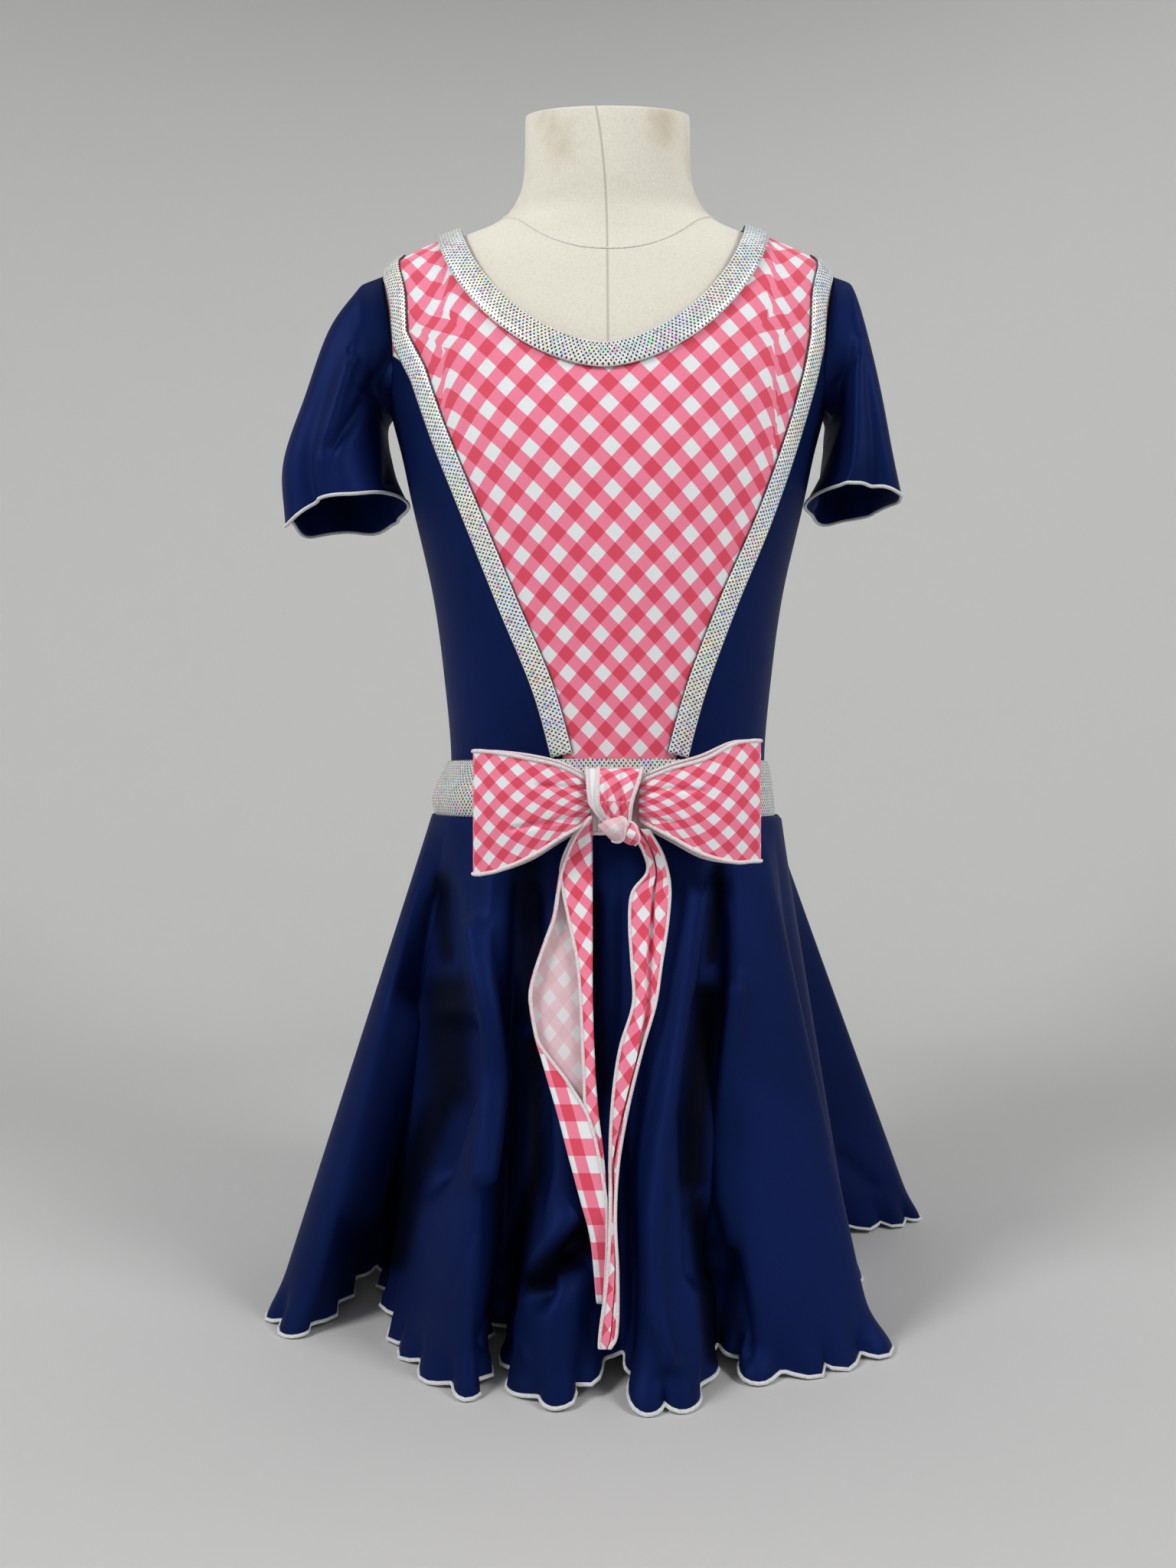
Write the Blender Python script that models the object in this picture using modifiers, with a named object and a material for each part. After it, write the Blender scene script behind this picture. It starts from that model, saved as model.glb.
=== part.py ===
"""A child's ice skating dress on a limbless dress form, in metres with +Z up.

The form stands on a table. The origin is the middle of its flat base, the front faces -Y and +X is the
viewer's right. Angles run round the body from the front, so 90 degrees is the viewer's right.
Sizes in the tables are centimetres, as a maker would measure them.
"""
import math

import bpy
import bmesh
import numpy as np

CM = 0.01

# Cloth and the gaps between its layers, cm
WALL = 0.12
FORM_GAP = 0.15
SEAM_GAP = 0.06
LAYER_GAP = 0.08
ARM_GAP = 0.10
PANEL_OUT = FORM_GAP
PANEL_FACE = PANEL_OUT + WALL
BAND_OUT = PANEL_FACE + LAYER_GAP

# Level sections of the form: height, half width, front depth, back depth, squareness (2 is an
# ellipse) and lean, the rise towards the back for each cm of depth
FORM = (
    (0.0, 10.3, 8.0, 8.2, 2.3, 0.0),
    (3.0, 10.8, 8.3, 8.7, 2.3, 0.0),
    (10.0, 11.1, 8.4, 9.2, 2.3, 0.0),
    (17.0, 10.9, 8.1, 9.1, 2.3, 0.0),
    (22.5, 10.3, 7.6, 8.3, 2.25, 0.0),
    (27.5, 9.5, 7.2, 7.2, 2.2, 0.0),
    (31.5, 9.3, 7.15, 6.9, 2.2, 0.0),
    (36.5, 9.72, 7.6, 7.3, 2.2, 0.0),
    (41.5, 10.4, 8.2, 8.0, 2.25, 0.0),
    (47.0, 11.65, 8.6, 8.6, 2.3, 0.0),
    (50.0, 12.3, 8.5, 8.8, 2.3, 0.0),
    (53.5, 13.2, 7.9, 8.9, 2.35, 0.0),
    (56.5, 13.75, 7.1, 8.4, 2.35, 0.0),
    (59.0, 13.95, 6.2, 7.2, 2.25, 0.0),
    (60.6, 13.7, 5.6, 6.3, 2.1, 0.0),
    (61.6, 12.7, 5.15, 5.6, 1.9, 0.0),
    (62.3, 11.3, 4.95, 5.2, 1.8, 0.0),
    (63.0, 9.6, 4.85, 5.0, 1.7, 0.0),
    (63.7, 7.9, 4.8, 4.9, 1.7, 0.05),
    (64.6, 6.5, 4.8, 4.85, 1.8, 0.12),
    (65.8, 5.6, 4.85, 4.85, 1.95, 0.2),
    (67.4, 5.15, 4.9, 4.9, 2.0, 0.3),
    (71.0, 5.05, 4.95, 4.95, 2.0, 0.43),
)

# The bands' middle line on the front: height, distance left and right of the middle
BAND_LINE = (
    (29.5, -2.1, 3.2),
    (35.0, -3.5, 4.6),
    (40.0, -5.5, 6.4),
    (45.0, -7.5, 8.5),
    (50.0, -9.5, 10.3),
    (54.3, -11.0, 11.6),
)
BAND_WIDTH = 1.24
BAND_FOOT = 31.55
BAND_TURN = 8.0
BAND_END = 3.0
BODICE_FOOT = 29.5
SEAM_TURN = 53.5
SEAM_ROWS = 10
SIDE_ROWS = 11
SHOULDER_FADE = 3
RIM_ROWS = 7

# The armhole, seen from the side: its middle's height, half depth, half height, squareness and
# lean backwards with height. The front seam turns into it at the corner, in degrees from its top
ARM_MIDDLE = 56.9
ARM_DEPTH = 3.4
ARM_HEIGHT = 4.5
ARM_SQUARE = 2.2
ARM_LEAN = 0.22
ARM_CORNER = 108.0
ARM_REAR = 262.0
CORNER_GAP = 4.0
UNDERARM_GAP = 1.0

# The neckline, seen from the front: middle, half width, front and back lowest heights, squareness
NECK_MIDDLE = -0.33
NECK_HALF = 8.45
NECK_FRONT = 54.1
NECK_BACK = 60.2
NECK_TOP = 64.0
NECK_SQUARE = 1.75
NECK_BAND_WIDTH = 1.4
NECK_TUCK = 0.15

# The belt: height above its foot as a share, and how far it stands out from the form
BELT_FOOT = 27.0
BELT_TOP = 31.4
BELT = (
    (0.0, 0.55),
    (0.22, 0.9),
    (0.45, 1.08),
    (0.72, 0.9),
    (1.0, 0.49),
)
BELT_SLUMP = 0.3
BELT_GATHERS = 18
BELT_GATHER = 0.05

# The skirt's flutes, from the front left round the front, the right and the back: the valley before
# the flute (x, y), its two shoulders at the hem (x, y each), the angle of that valley at the waist
# and the height of the valley's hem
FLUTES = (
    (-14.0, 2.4, -19.0, -5.3, -16.4, -8.8, -93.0, 0.6),
    (-13.9, -1.8, -11.2, -10.3, -7.1, -15.3, -60.0, 1.0),
    (-5.8, -10.1, -4.9, -14.3, -2.8, -16.3, -27.0, 0.9),
    (0.5, -13.2, 1.6, -16.4, 4.3, -15.6, 3.0, 1.3),
    (5.5, -11.6, 7.5, -13.8, 13.9, -10.8, 34.0, 0.9),
    (12.2, -5.6, 14.7, -2.6, 15.0, 1.6, 64.0, 0.6),
    (13.3, 4.8, 20.9, 7.8, 19.9, 11.5, 90.0, 0.5),
    (12.8, 9.2, 16.0, 14.4, 12.6, 17.0, 117.0, 0.8),
    (8.8, 11.9, 7.7, 18.4, 4.2, 18.9, 143.0, 0.6),
    (2.4, 13.2, 0.7, 18.6, -2.9, 18.8, 168.0, 1.0),
    (-4.4, 13.0, -7.0, 18.1, -10.3, 16.8, 193.0, 0.7),
    (-9.2, 11.2, -13.8, 13.6, -16.3, 10.7, 218.0, 0.9),
    (-12.6, 7.9, -17.6, 6.9, -18.2, 3.9, 243.0, 0.6),
)
SKIRT_TOP = 27.75
SKIRT_SEAM = 28.05
SKIRT_STAND = 0.42
HEM_LIFT = 0.12
# A valley is tighter than a flute's round end
VALLEY_TIGHTNESS = 0.55
STEPS_TO_SHOULDER = 3
STEPS_ACROSS = 3
SKIRT_ROWS = 4

# A sleeve's sections, from the armhole's edge to the hem: the outer point (x, z), the inner point
# (x, z) and the half depth. x is counted outwards from the middle
SLEEVE_L = (
    (14.15, 61.3, 13.35, 52.7, 3.7),
    (15.2, 60.0, 13.7, 52.0, 4.1),
    (16.8, 57.6, 13.6, 51.2, 4.5),
    (18.2, 53.6, 13.4, 50.3, 4.8),
    (19.5, 49.6, 13.0, 48.8, 5.1),
    (19.3, 46.3, 12.3, 47.3, 5.0),
)
SLEEVE_R = (
    (14.15, 61.3, 13.35, 52.7, 3.7),
    (14.8, 60.1, 13.7, 52.0, 4.1),
    (15.5, 57.4, 13.6, 51.2, 4.5),
    (16.3, 53.6, 13.4, 50.3, 4.8),
    (17.0, 49.8, 13.0, 48.8, 5.0),
    (17.6, 47.4, 12.3, 47.4, 4.9),
)
ARM_INSET = 0.06
SLEEVE_OUT = PANEL_OUT + 0.05

# Ruffle waves of a sleeve: angle round it from the outer edge towards the front, width in degrees,
# push outwards and drop at the hem
WAVE_SIDEWAYS = 0.6
WAVE_PUSH_POWER = 1.5
WAVE_DROP_POWER = 3
WAVES_L = (
    (38.0, 24.0, 0.7, 1.2),
    (72.0, 15.0, -0.7, 0.0),
    (105.0, 22.0, 0.35, 0.3),
    (215.0, 18.0, -0.4, 0.1),
    (262.0, 20.0, 0.5, 0.3),
    (305.0, 18.0, -0.5, 0.2),
    (335.0, 20.0, 0.4, 0.6),
)
WAVES_R = (
    (12.0, 18.0, 0.3, 0.2),
    (48.0, 18.0, 0.6, 0.5),
    (82.0, 14.0, -0.6, 0.1),
    (118.0, 20.0, 0.35, 0.1),
    (222.0, 18.0, -0.4, 0.1),
    (258.0, 20.0, 0.45, 0.3),
    (300.0, 20.0, -0.5, 0.2),
)

# A bow loop, from inside the knot outwards: x, the lowest and highest points, and the depth of the
# front layer and of the back layer
LOOP_L = (
    (-1.05, 27.9, 30.3, -9.88, -9.12),
    (-2.6, 27.0, 31.1, -10.55, -8.95),
    (-4.2, 26.0, 31.5, -10.85, -8.95),
    (-5.8, 25.4, 31.7, -10.65, -9.05),
    (-6.9, 25.2, 31.75, -10.15, -9.25),
)
LOOP_R = (
    (1.5, 27.9, 30.3, -9.88, -9.12),
    (3.2, 27.0, 31.0, -10.55, -8.95),
    (4.9, 26.1, 31.5, -10.85, -8.95),
    (6.5, 25.8, 32.2, -10.65, -9.05),
    (7.6, 25.9, 32.3, -10.15, -9.25),
)
LOOP_FOLD = 0.45
LOOP_BELLY = 0.25

# The knot's band round the loops' gathered ends: share of its width, half height and half depth
KNOT_LEFT = -1.25
KNOT_RIGHT = 1.7
KNOT_MIDDLE = (-9.5, 29.1)
KNOT = (
    (0.0, 1.75, 1.0),
    (0.2, 1.9, 1.12),
    (0.5, 1.75, 1.18),
    (0.8, 1.9, 1.12),
    (1.0, 1.7, 1.0),
)

# The small tie under the knot: place, half sizes and tilt in degrees
TIE_MIDDLE = (0.45, -9.85, 26.5)
TIE_SIZE = (1.15, 0.75, 0.62)
TIE_TILT = 14.0

# The tails. Left: height, depth, right-hand fold, front layer's edge and back layer's edge.
# Right: height, depth, left fold, right fold and the slit between its two front flaps
TAIL_L = (
    (27.25, -9.7, -0.95, -1.65, -1.75),
    (25.4, -9.75, -0.95, -2.6, -2.7),
    (23.0, -10.35, -0.95, -2.25, -3.1),
    (21.0, -10.9, -0.95, -1.8, -3.8),
    (19.1, -11.45, -0.95, -1.65, -4.25),
    (17.1, -12.0, -0.9, -1.6, -3.9),
    (15.3, -12.5, -0.8, -1.45, -3.4),
    (13.2, -13.1, -0.65, -1.2, -2.75),
    (11.3, -13.65, -0.4, -0.8, -2.2),
    (9.2, -14.0, -0.25, -0.65, -1.6),
    (7.3, -14.2, -0.2, -0.55, -1.1),
    (4.4, -14.6, -0.25, -0.6, -0.85),
)
TAIL_R = (
    (26.4, -9.9, 1.7, 2.9, 2.3),
    (25.3, -9.95, 1.7, 3.15, 2.5),
    (24.2, -10.1, 1.1, 3.15, 2.2),
    (22.6, -10.45, 1.0, 3.1, 2.1),
    (20.6, -11.0, 1.05, 2.75, 2.0),
    (18.6, -11.6, 1.0, 2.45, 1.8),
    (16.4, -12.2, 0.35, 2.05, 1.3),
    (13.8, -12.75, 0.0, 1.5, 0.8),
    (11.0, -13.35, -0.05, 0.95, 0.5),
    (8.6, -14.45, -0.05, 0.8, 0.4),
    (6.0, -15.1, -0.2, 0.75, 0.3),
    (3.0, -15.6, -0.45, 0.35, -0.05),
)
TAIL_LAYERS = 0.42
TAIL_EDGE = 0.13
TAIL_BELLY = 0.05
BOW_WALL = 0.11

# How finely each piece is divided: rows along it, then columns across it or round it
FORM_COLUMNS = 28
FORM_EDGE = 50
FRONT_STRAP, FRONT_NECK = 4, 14
BACK_STRAP, BACK_NECK, BACK_RIM, BACK_SHOULDER = 4, 13, 6, 8
SIDE_COLUMNS = 7
NECK_COLUMNS = 52
TRIM_ROWS = 27
BELT_ROWS, BELT_COLUMNS = 5, 45
SLEEVE_ROWS, SLEEVE_COLUMNS = 8, 30
LOOP_ROWS, LOOP_COLUMNS = 6, 7
KNOT_ROWS, KNOT_COLUMNS = 7, 20
TAIL_ROWS = 18
TIE_SEGMENTS, TIE_RINGS = 18, 10
# The largest even offset of a wall at a fold, in shortest edges
WALL_CLAMP = 2.0

COLOURS = {
    "cream knit": ((0.62, 0.58, 0.52), 0.9),
    "navy stretch": ((0.010, 0.020, 0.075), 0.55),
    "gingham": ((0.86, 0.25, 0.36), 0.8),
    "silver": ((0.62, 0.64, 0.64), 0.35),
}


def smooth(rows, count):
    """Reads a table smoothly: a cubic through its rows, each interval cut into the same steps.

    The slope at a row is (next - previous) / 2, so the curve is a Catmull-Rom spline.
    """
    rows = np.array(rows, float)
    slope = np.gradient(rows, axis=0)
    place = np.linspace(0, len(rows) - 1, count)
    low = np.minimum(place.astype(int), len(rows) - 2)
    t = (place - low)[:, None]
    start = (1 + 2 * t) * (1 - t) ** 2 * rows[low] + t * (1 - t) ** 2 * slope[low]
    end = t * t * (3 - 2 * t) * rows[low + 1] + t * t * (t - 1) * slope[low + 1]
    return start + end


# The form's profile, finely divided, how fast each of its columns changes with height, and the row
# where the shoulder's ridge starts
PROFILE_ROWS = 900
PROFILE = smooth(FORM, PROFILE_ROWS)
SLOPES = np.gradient(PROFILE, PROFILE[:, 0], axis=0)
RIDGE_FOOT = 59.5
RIDGE = np.argmax(PROFILE[:, 0] > RIDGE_FOOT)
LONGEST_MOVE = 1.0
SETTLE_ROUNDS = 12
# Points of a path before it is spread evenly
FINE = 60
# How far a neckline path runs to each side, in degrees, and how far a waist path does
NECK_REACH = 88.0
BAND_REACH = 89.0


def section(height, table=PROFILE):
    """Half width, front depth, back depth, squareness and lean of the form at a height."""
    return [np.interp(height, PROFILE[:, 0], column) for column in table.T[1:]]


def ring(height, angle):
    """Points of the form's level section: x = a |sin|^(2/n), y = -d |cos|^(2/n)."""
    height, angle = np.broadcast_arrays(np.asarray(height, float), np.radians(angle))
    half, front, back, square, lean = section(height)
    sine, cosine = np.sin(angle), np.cos(angle)
    depth = np.where(cosine > 0, front, back)
    x = half * np.sign(sine) * np.abs(sine) ** (2 / square)
    y = -depth * np.sign(cosine) * np.abs(cosine) ** (2 / square)
    return np.stack([x, y, height + lean * y], axis=-1)


def against_form(points):
    """How far outside the form points are, as |x/a|^n + |y/d|^n - 1, and its gradient."""
    x, y, z = np.moveaxis(points, -1, 0)
    half, front, back, square, _ = section(z)
    widen, front_slope, back_slope = section(z, SLOPES)[:3]
    depth = np.where(y < 0, front, back)
    deepen = np.where(y < 0, front_slope, back_slope)
    u, v = np.abs(x) / half, np.abs(y) / depth
    outside = u ** square + v ** square - 1
    gradient = np.stack([
        square * np.sign(x) * u ** (square - 1) / half,
        square * np.sign(y) * v ** (square - 1) / depth,
        -square * (u ** square * widen / half + v ** square * deepen / depth),
    ], axis=-1)
    return outside, gradient


def normal(points):
    """The form's outward direction at points on or near it."""
    gradient = against_form(points)[1]
    return gradient / np.linalg.norm(gradient, axis=-1, keepdims=True)


def settle(points, out=0.0):
    """Moves points onto the form along its gradient, then out along its normal, in cm."""
    points = np.array(points, float)
    for _ in range(SETTLE_ROUNDS):
        outside, gradient = against_form(points)
        move = (outside / (gradient ** 2).sum(axis=-1))[..., None] * gradient
        length = np.linalg.norm(move, axis=-1, keepdims=True)
        points -= move * np.minimum(1.0, LONGEST_MOVE / np.maximum(length, 1e-9))
    return points + normal(points) * np.asarray(out)[..., None]


def facing(x, height, back=False):
    """The front (or back) point that is seen at x and a height, or the ridge where x is past it."""
    ridge = np.interp(-np.abs(x), -PROFILE[RIDGE:, 1], PROFILE[RIDGE:, 0])
    height = np.minimum(height, ridge)
    half, front, deep, square, _ = section(height)
    depth = np.maximum(1 - np.minimum(np.abs(x) / half, 1.0) ** square, 0.0) ** (1 / square)
    y = deep * depth if back else -front * depth
    return np.stack(np.broadcast_arrays(x, y, height), axis=-1)


def armhole(turn, side, grow=0.0):
    """The armhole's edge, seen from the side: turn 0 is its top, 90 its front, 180 the underarm."""
    turn = np.radians(turn)
    sine, cosine = np.sin(turn), np.cos(turn)
    power = 2 / ARM_SQUARE
    up = (ARM_HEIGHT + grow) * np.sign(cosine) * np.abs(cosine) ** power
    y = up * ARM_LEAN - (ARM_DEPTH + grow) * np.sign(sine) * np.abs(sine) ** power
    height = np.minimum(ARM_MIDDLE + up, ARM_MIDDLE + ARM_HEIGHT)
    half, front, back, square, _ = section(height)
    depth = np.where(y < 0, front, back)
    x = side * half * np.maximum(1 - (np.abs(y) / depth) ** square, 0.0) ** (1 / square)
    return np.stack([x, y, height], axis=-1)


def armhole_crest(grow=0.0):
    """The turn at which the armhole's edge crosses the shoulder's ridge, where y is 0."""
    turns = np.linspace(0, 60, FINE)
    return np.interp(0.0, -armhole(turns, 1, grow)[:, 1], turns)


def neckline(turn, grow=0.0, back=False):
    """The neckline from the lowest point (0) to the viewer's right (90) or left (-90) shoulder."""
    turn = np.radians(turn)
    power = 2 / NECK_SQUARE
    lowest = (NECK_BACK if back else NECK_FRONT) - grow
    x = NECK_MIDDLE + (NECK_HALF + grow) * np.sign(turn) * np.abs(np.sin(turn)) ** power
    return facing(x, NECK_TOP - (NECK_TOP - lowest) * np.cos(turn) ** power, back)


def shoulder(start, end, count):
    """Points along the shoulder's ridge between two distances from the middle."""
    across = np.linspace(start, end, count)
    return facing(across, np.full(count, FORM[-1][0]))


def measured(path, count):
    """Spreads points evenly along a path on the form."""
    steps = np.linalg.norm(np.diff(path, axis=0), axis=1)
    length = np.concatenate([[0], np.cumsum(steps)])
    at = np.linspace(0, length[-1], count)
    return settle(np.stack([np.interp(at, length, column) for column in path.T], axis=-1))


def sideways(path, distance, closed=False):
    """Moves a path over the form to its own left, in cm."""
    if closed:
        run = np.roll(path, -1, axis=0) - np.roll(path, 1, axis=0)
    else:
        run = np.gradient(path, axis=0)
    left = np.cross(normal(path), run)
    left /= np.linalg.norm(left, axis=1, keepdims=True)
    return settle(path + left * distance)


def fill(bottom, top, left, right, fade=1):
    """A grid of points on the form between four edges.

    Each column runs straight from the bottom to the top edge. The side edges' own curves are added
    to it, fading across the grid with the given power, and the points then settle on the form.
    With a power of 1 it is a Coons patch.
    """
    across = np.linspace(0, 1, len(bottom))[None, :, None]
    up = np.linspace(0, 1, len(left))[:, None, None]
    straight = bottom[None] * (1 - up) + top[None] * up
    left_curve = left[:, None] - (left[0] * (1 - up) + left[-1] * up)
    right_curve = right[:, None] - (right[0] * (1 - up) + right[-1] * up)
    grid = straight + left_curve * (1 - across) ** fade + right_curve * across ** fade
    return settle(grid)


def material(name):
    """A plain Principled material in the cloth's own colour."""
    colour, rough = COLOURS[name]
    made = bpy.data.materials.get(name)
    if made is None:
        made = bpy.data.materials.new(name)
        made.use_nodes = True
        shader = made.node_tree.nodes["Principled BSDF"]
        shader.inputs["Base Color"].default_value = (*colour, 1.0)
        shader.inputs["Roughness"].default_value = rough
        shader.inputs["Metallic"].default_value = 0.0
    return made


def loft(grids, around=False):
    """One surface through grids of points in cm, rows upwards and columns to the viewer's right.

    Grids that share an edge are welded there. With around, the last column meets the first.
    """
    mesh = bpy.data.meshes.new("cloth")
    points, faces = [], []
    for grid in grids:
        rows, columns = grid.shape[:2]
        first = len(points)
        points.extend(map(tuple, grid.reshape(-1, 3) * CM))
        for row in range(rows - 1):
            for column in range(columns if around else columns - 1):
                following = (column + 1) % columns
                low, high = first + row * columns, first + (row + 1) * columns
                faces.append((low + column, low + following, high + following, high + column))
    mesh.from_pydata(points, [], faces)
    if len(grids) > 1:
        shape = bmesh.new()
        shape.from_mesh(mesh)
        bmesh.ops.remove_doubles(shape, verts=shape.verts, dist=0.00002)
        shape.to_mesh(mesh)
        shape.free()
    return mesh


def cut_faces(piece):
    """Cuts four-sided faces along their shorter diagonals, which lie closest to the curved form."""
    cuts = piece.modifiers.new("cuts", 'TRIANGULATE')
    cuts.quad_method = 'SHORTEST_DIAGONAL'


def cloth(name, colour, grids, wall=WALL, around=False, outwards=True):
    """A piece of cloth: a lofted surface given its wall, outwards or inwards."""
    mesh = loft(grids, around)
    piece = bpy.data.objects.new(name, mesh)
    COLLECTION.objects.link(piece)
    mesh.materials.append(material(colour))
    mesh.shade_smooth()
    thick = piece.modifiers.new("wall", 'SOLIDIFY')
    thick.thickness = wall * CM
    thick.offset = 1.0 if outwards else -1.0
    thick.use_even_offset = True
    thick.thickness_clamp = WALL_CLAMP
    cut_faces(piece)


def solid(name, colour, grid):
    """A closed body lofted through rings of points, with flat ends."""
    mesh = loft([grid], around=True)
    shape = bmesh.new()
    shape.from_mesh(mesh)
    shape.verts.ensure_lookup_table()
    columns = grid.shape[1]
    shape.faces.new([shape.verts[index] for index in reversed(range(columns))])
    last = len(shape.verts) - columns
    shape.faces.new([shape.verts[last + index] for index in range(columns)])
    bmesh.ops.recalc_face_normals(shape, faces=shape.faces)
    shape.to_mesh(mesh)
    shape.free()
    piece = bpy.data.objects.new(name, mesh)
    COLLECTION.objects.link(piece)
    mesh.materials.append(material(colour))
    mesh.shade_smooth()
    mesh.set_sharp_from_angle(angle=math.radians(FORM_EDGE))
    cut_faces(piece)


def seam_line(side, foot=BODICE_FOOT, rows=SEAM_ROWS):
    """The front seam under a silver band, from its foot up to where it nears the armhole."""
    table = smooth(BAND_LINE, FINE)
    table = table[(table[:, 0] >= foot) & (table[:, 0] <= SEAM_TURN)]
    return measured(facing(table[:, 1 if side < 0 else 2], table[:, 0]), rows)


def side_seam(side, shift):
    """The side seam, from the waist up to the underarm, leaning forward with the armhole.

    Its depth is y = y_underarm t^2, where t is the share of the way up.
    """
    underarm = armhole(180.0, side, ARM_GAP)
    up = np.linspace(0, 1, SIDE_ROWS)
    height = BODICE_FOOT + (underarm[2] - BODICE_FOOT) * up
    depth = underarm[1] * up ** 2 + shift
    return settle(np.stack([side * section(height)[0], depth, height], axis=-1))


def top_edge(strap, middle, back=False):
    """Shoulder, neckline and shoulder again, from the front panel's left or the back's right."""
    turns = np.linspace(-NECK_REACH, NECK_REACH, FINE)
    dip = neckline(turns, NECK_TUCK, back)
    tip = armhole(armhole_crest(ARM_GAP), 1, ARM_GAP)[0]
    left, right = (
        shoulder(side * tip, dip[end, 0], strap) for side, end in ((-1, 0), (1, -1)))
    edge = np.concatenate([left, measured(dip, middle)[1:-1], right[::-1]])
    return edge[::-1] if back else edge


def make_front():
    """The gingham V, from the waist to the shoulders."""
    edges = []
    for side in (-1, 1):
        rim = armhole(np.linspace(ARM_CORNER, armhole_crest(ARM_GAP), FINE), side, ARM_GAP)
        seam = sideways(seam_line(side), side * SEAM_GAP / 2)
        edges.append(np.concatenate([seam, measured(rim, RIM_ROWS)]))
    top = top_edge(FRONT_STRAP, FRONT_NECK)
    across = np.linspace(edges[0][0, 0], edges[1][0, 0], len(top))
    bottom = facing(across, np.full(len(top), BODICE_FOOT))
    grid = fill(bottom, top, edges[0], edges[1])
    cloth("front_panel", "gingham", [settle(grid, PANEL_OUT)])


def make_sides():
    """Navy side fronts, between the front seam, the armhole and the side seam."""
    for side, name in ((-1, "side_front_L"), (1, "side_front_R")):
        turns = np.linspace(ARM_CORNER + CORNER_GAP, 180.0 - UNDERARM_GAP, FINE)
        rim = measured(armhole(turns, side, ARM_GAP), SIDE_COLUMNS)
        seam = np.concatenate([sideways(seam_line(side), -side * SEAM_GAP / 2), rim[:1]])
        edge = side_seam(side, -SEAM_GAP / 2)
        edge[-1] = rim[-1]
        foot = ring(np.full(FINE, BODICE_FOOT), np.linspace(0, side * BAND_REACH, FINE))
        foot = foot[side * foot[:, 0] > side * seam[0, 0]]
        bottom = measured(np.concatenate([seam[:1], foot, edge[:1]]), SIDE_COLUMNS)
        grid = fill(bottom, rim, seam, edge)
        if side < 0:
            grid = grid[:, ::-1]
        cloth(name, "navy stretch", [settle(grid, PANEL_OUT)])


def make_back():
    """The navy back: up to the armholes' rear points, then the shoulders and the neckline."""
    mirror = np.array([-1.0, 1.0, 1.0])
    turns = np.linspace(180.0 + UNDERARM_GAP, ARM_REAR, FINE)
    low_rim = measured(armhole(turns, 1, ARM_GAP), BACK_RIM)
    turns = np.linspace(ARM_REAR, 360 + armhole_crest(ARM_GAP), FINE)
    high_rim = measured(armhole(turns, 1, ARM_GAP), BACK_SHOULDER)
    crown = top_edge(BACK_STRAP, BACK_NECK, back=True)
    seam_shift = np.array([0.0, SEAM_GAP / 2, 0.0])
    high_rim[-1] = settle(high_rim[-1] + seam_shift)
    crown[:BACK_STRAP] = settle(crown[:BACK_STRAP] + seam_shift)
    crown[-BACK_STRAP:] = settle(crown[-BACK_STRAP:] + seam_shift)
    crown[0], crown[-1] = high_rim[-1], high_rim[-1] * mirror
    across = np.linspace(high_rim[0, 0], -high_rim[0, 0], FINE)
    line = measured(facing(across, np.full(FINE, high_rim[0, 2]), back=True), len(crown))
    line[0], line[-1] = high_rim[0], high_rim[0] * mirror
    top = np.concatenate([low_rim[:-1], line, (low_rim[:-1] * mirror)[::-1]])
    right = side_seam(1, SEAM_GAP / 2)
    right[-1] = low_rim[0]
    bottom = settle(ring(np.full(len(top), BODICE_FOOT), np.linspace(90, 270, len(top))))
    bottom[0], bottom[-1] = right[0], right[0] * mirror
    body = fill(bottom, top, right, right * mirror)
    shoulders = fill(line, crown, high_rim, high_rim * mirror, SHOULDER_FADE)
    cloth("back_panel", "navy stretch",
          [settle(body, PANEL_OUT), settle(shoulders, PANEL_OUT)])


def make_neck_band():
    """The silver band round the neckline, laid on the panels."""
    turns = np.linspace(-BAND_REACH, BAND_REACH, FINE)
    front = neckline(turns, NECK_BAND_WIDTH / 2)
    back = neckline(turns, NECK_BAND_WIDTH / 2, back=True)[::-1]
    path = measured(np.concatenate([front, back, front[:1]]), NECK_COLUMNS + 1)[:-1]
    shifts = (-NECK_BAND_WIDTH / 2, 0.0, NECK_BAND_WIDTH / 2)
    grid = np.stack([settle(sideways(path, shift, True), BAND_OUT) for shift in shifts])
    cloth("neck_band", "silver", [grid], around=True)


def make_trims():
    """Silver bands laid over the front seams and along the armholes, up to the shoulders."""
    for side, name in ((-1, "trim_L"), (1, "trim_R")):
        turns = np.linspace(ARM_CORNER - BAND_TURN, armhole_crest() + BAND_END, FINE)
        rim = armhole(turns, side, BAND_WIDTH / 2 + SEAM_GAP)
        path = measured(np.concatenate([seam_line(side, BAND_FOOT, FINE), rim]), TRIM_ROWS)
        shifts = (BAND_WIDTH / 2, 0.0, -BAND_WIDTH / 2)
        grid = np.stack([settle(sideways(path, shift), BAND_OUT) for shift in shifts], axis=1)
        cloth(name, "silver", [grid])


def belt_out(share, angle):
    """How far the belt's outer face stands out: its profile, slumped lower on the viewer's left."""
    profile = smooth(BELT, FINE)
    height, out = profile[:, 0], profile[:, 1]
    slump = 1 - BELT_SLUMP * np.sin(np.radians(angle)) * np.sin(np.pi * share)
    gather = BELT_GATHER * np.sin(np.radians(angle) * BELT_GATHERS) * np.sin(np.pi * share)
    return np.interp(share, height, out) * slump + gather


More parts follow.
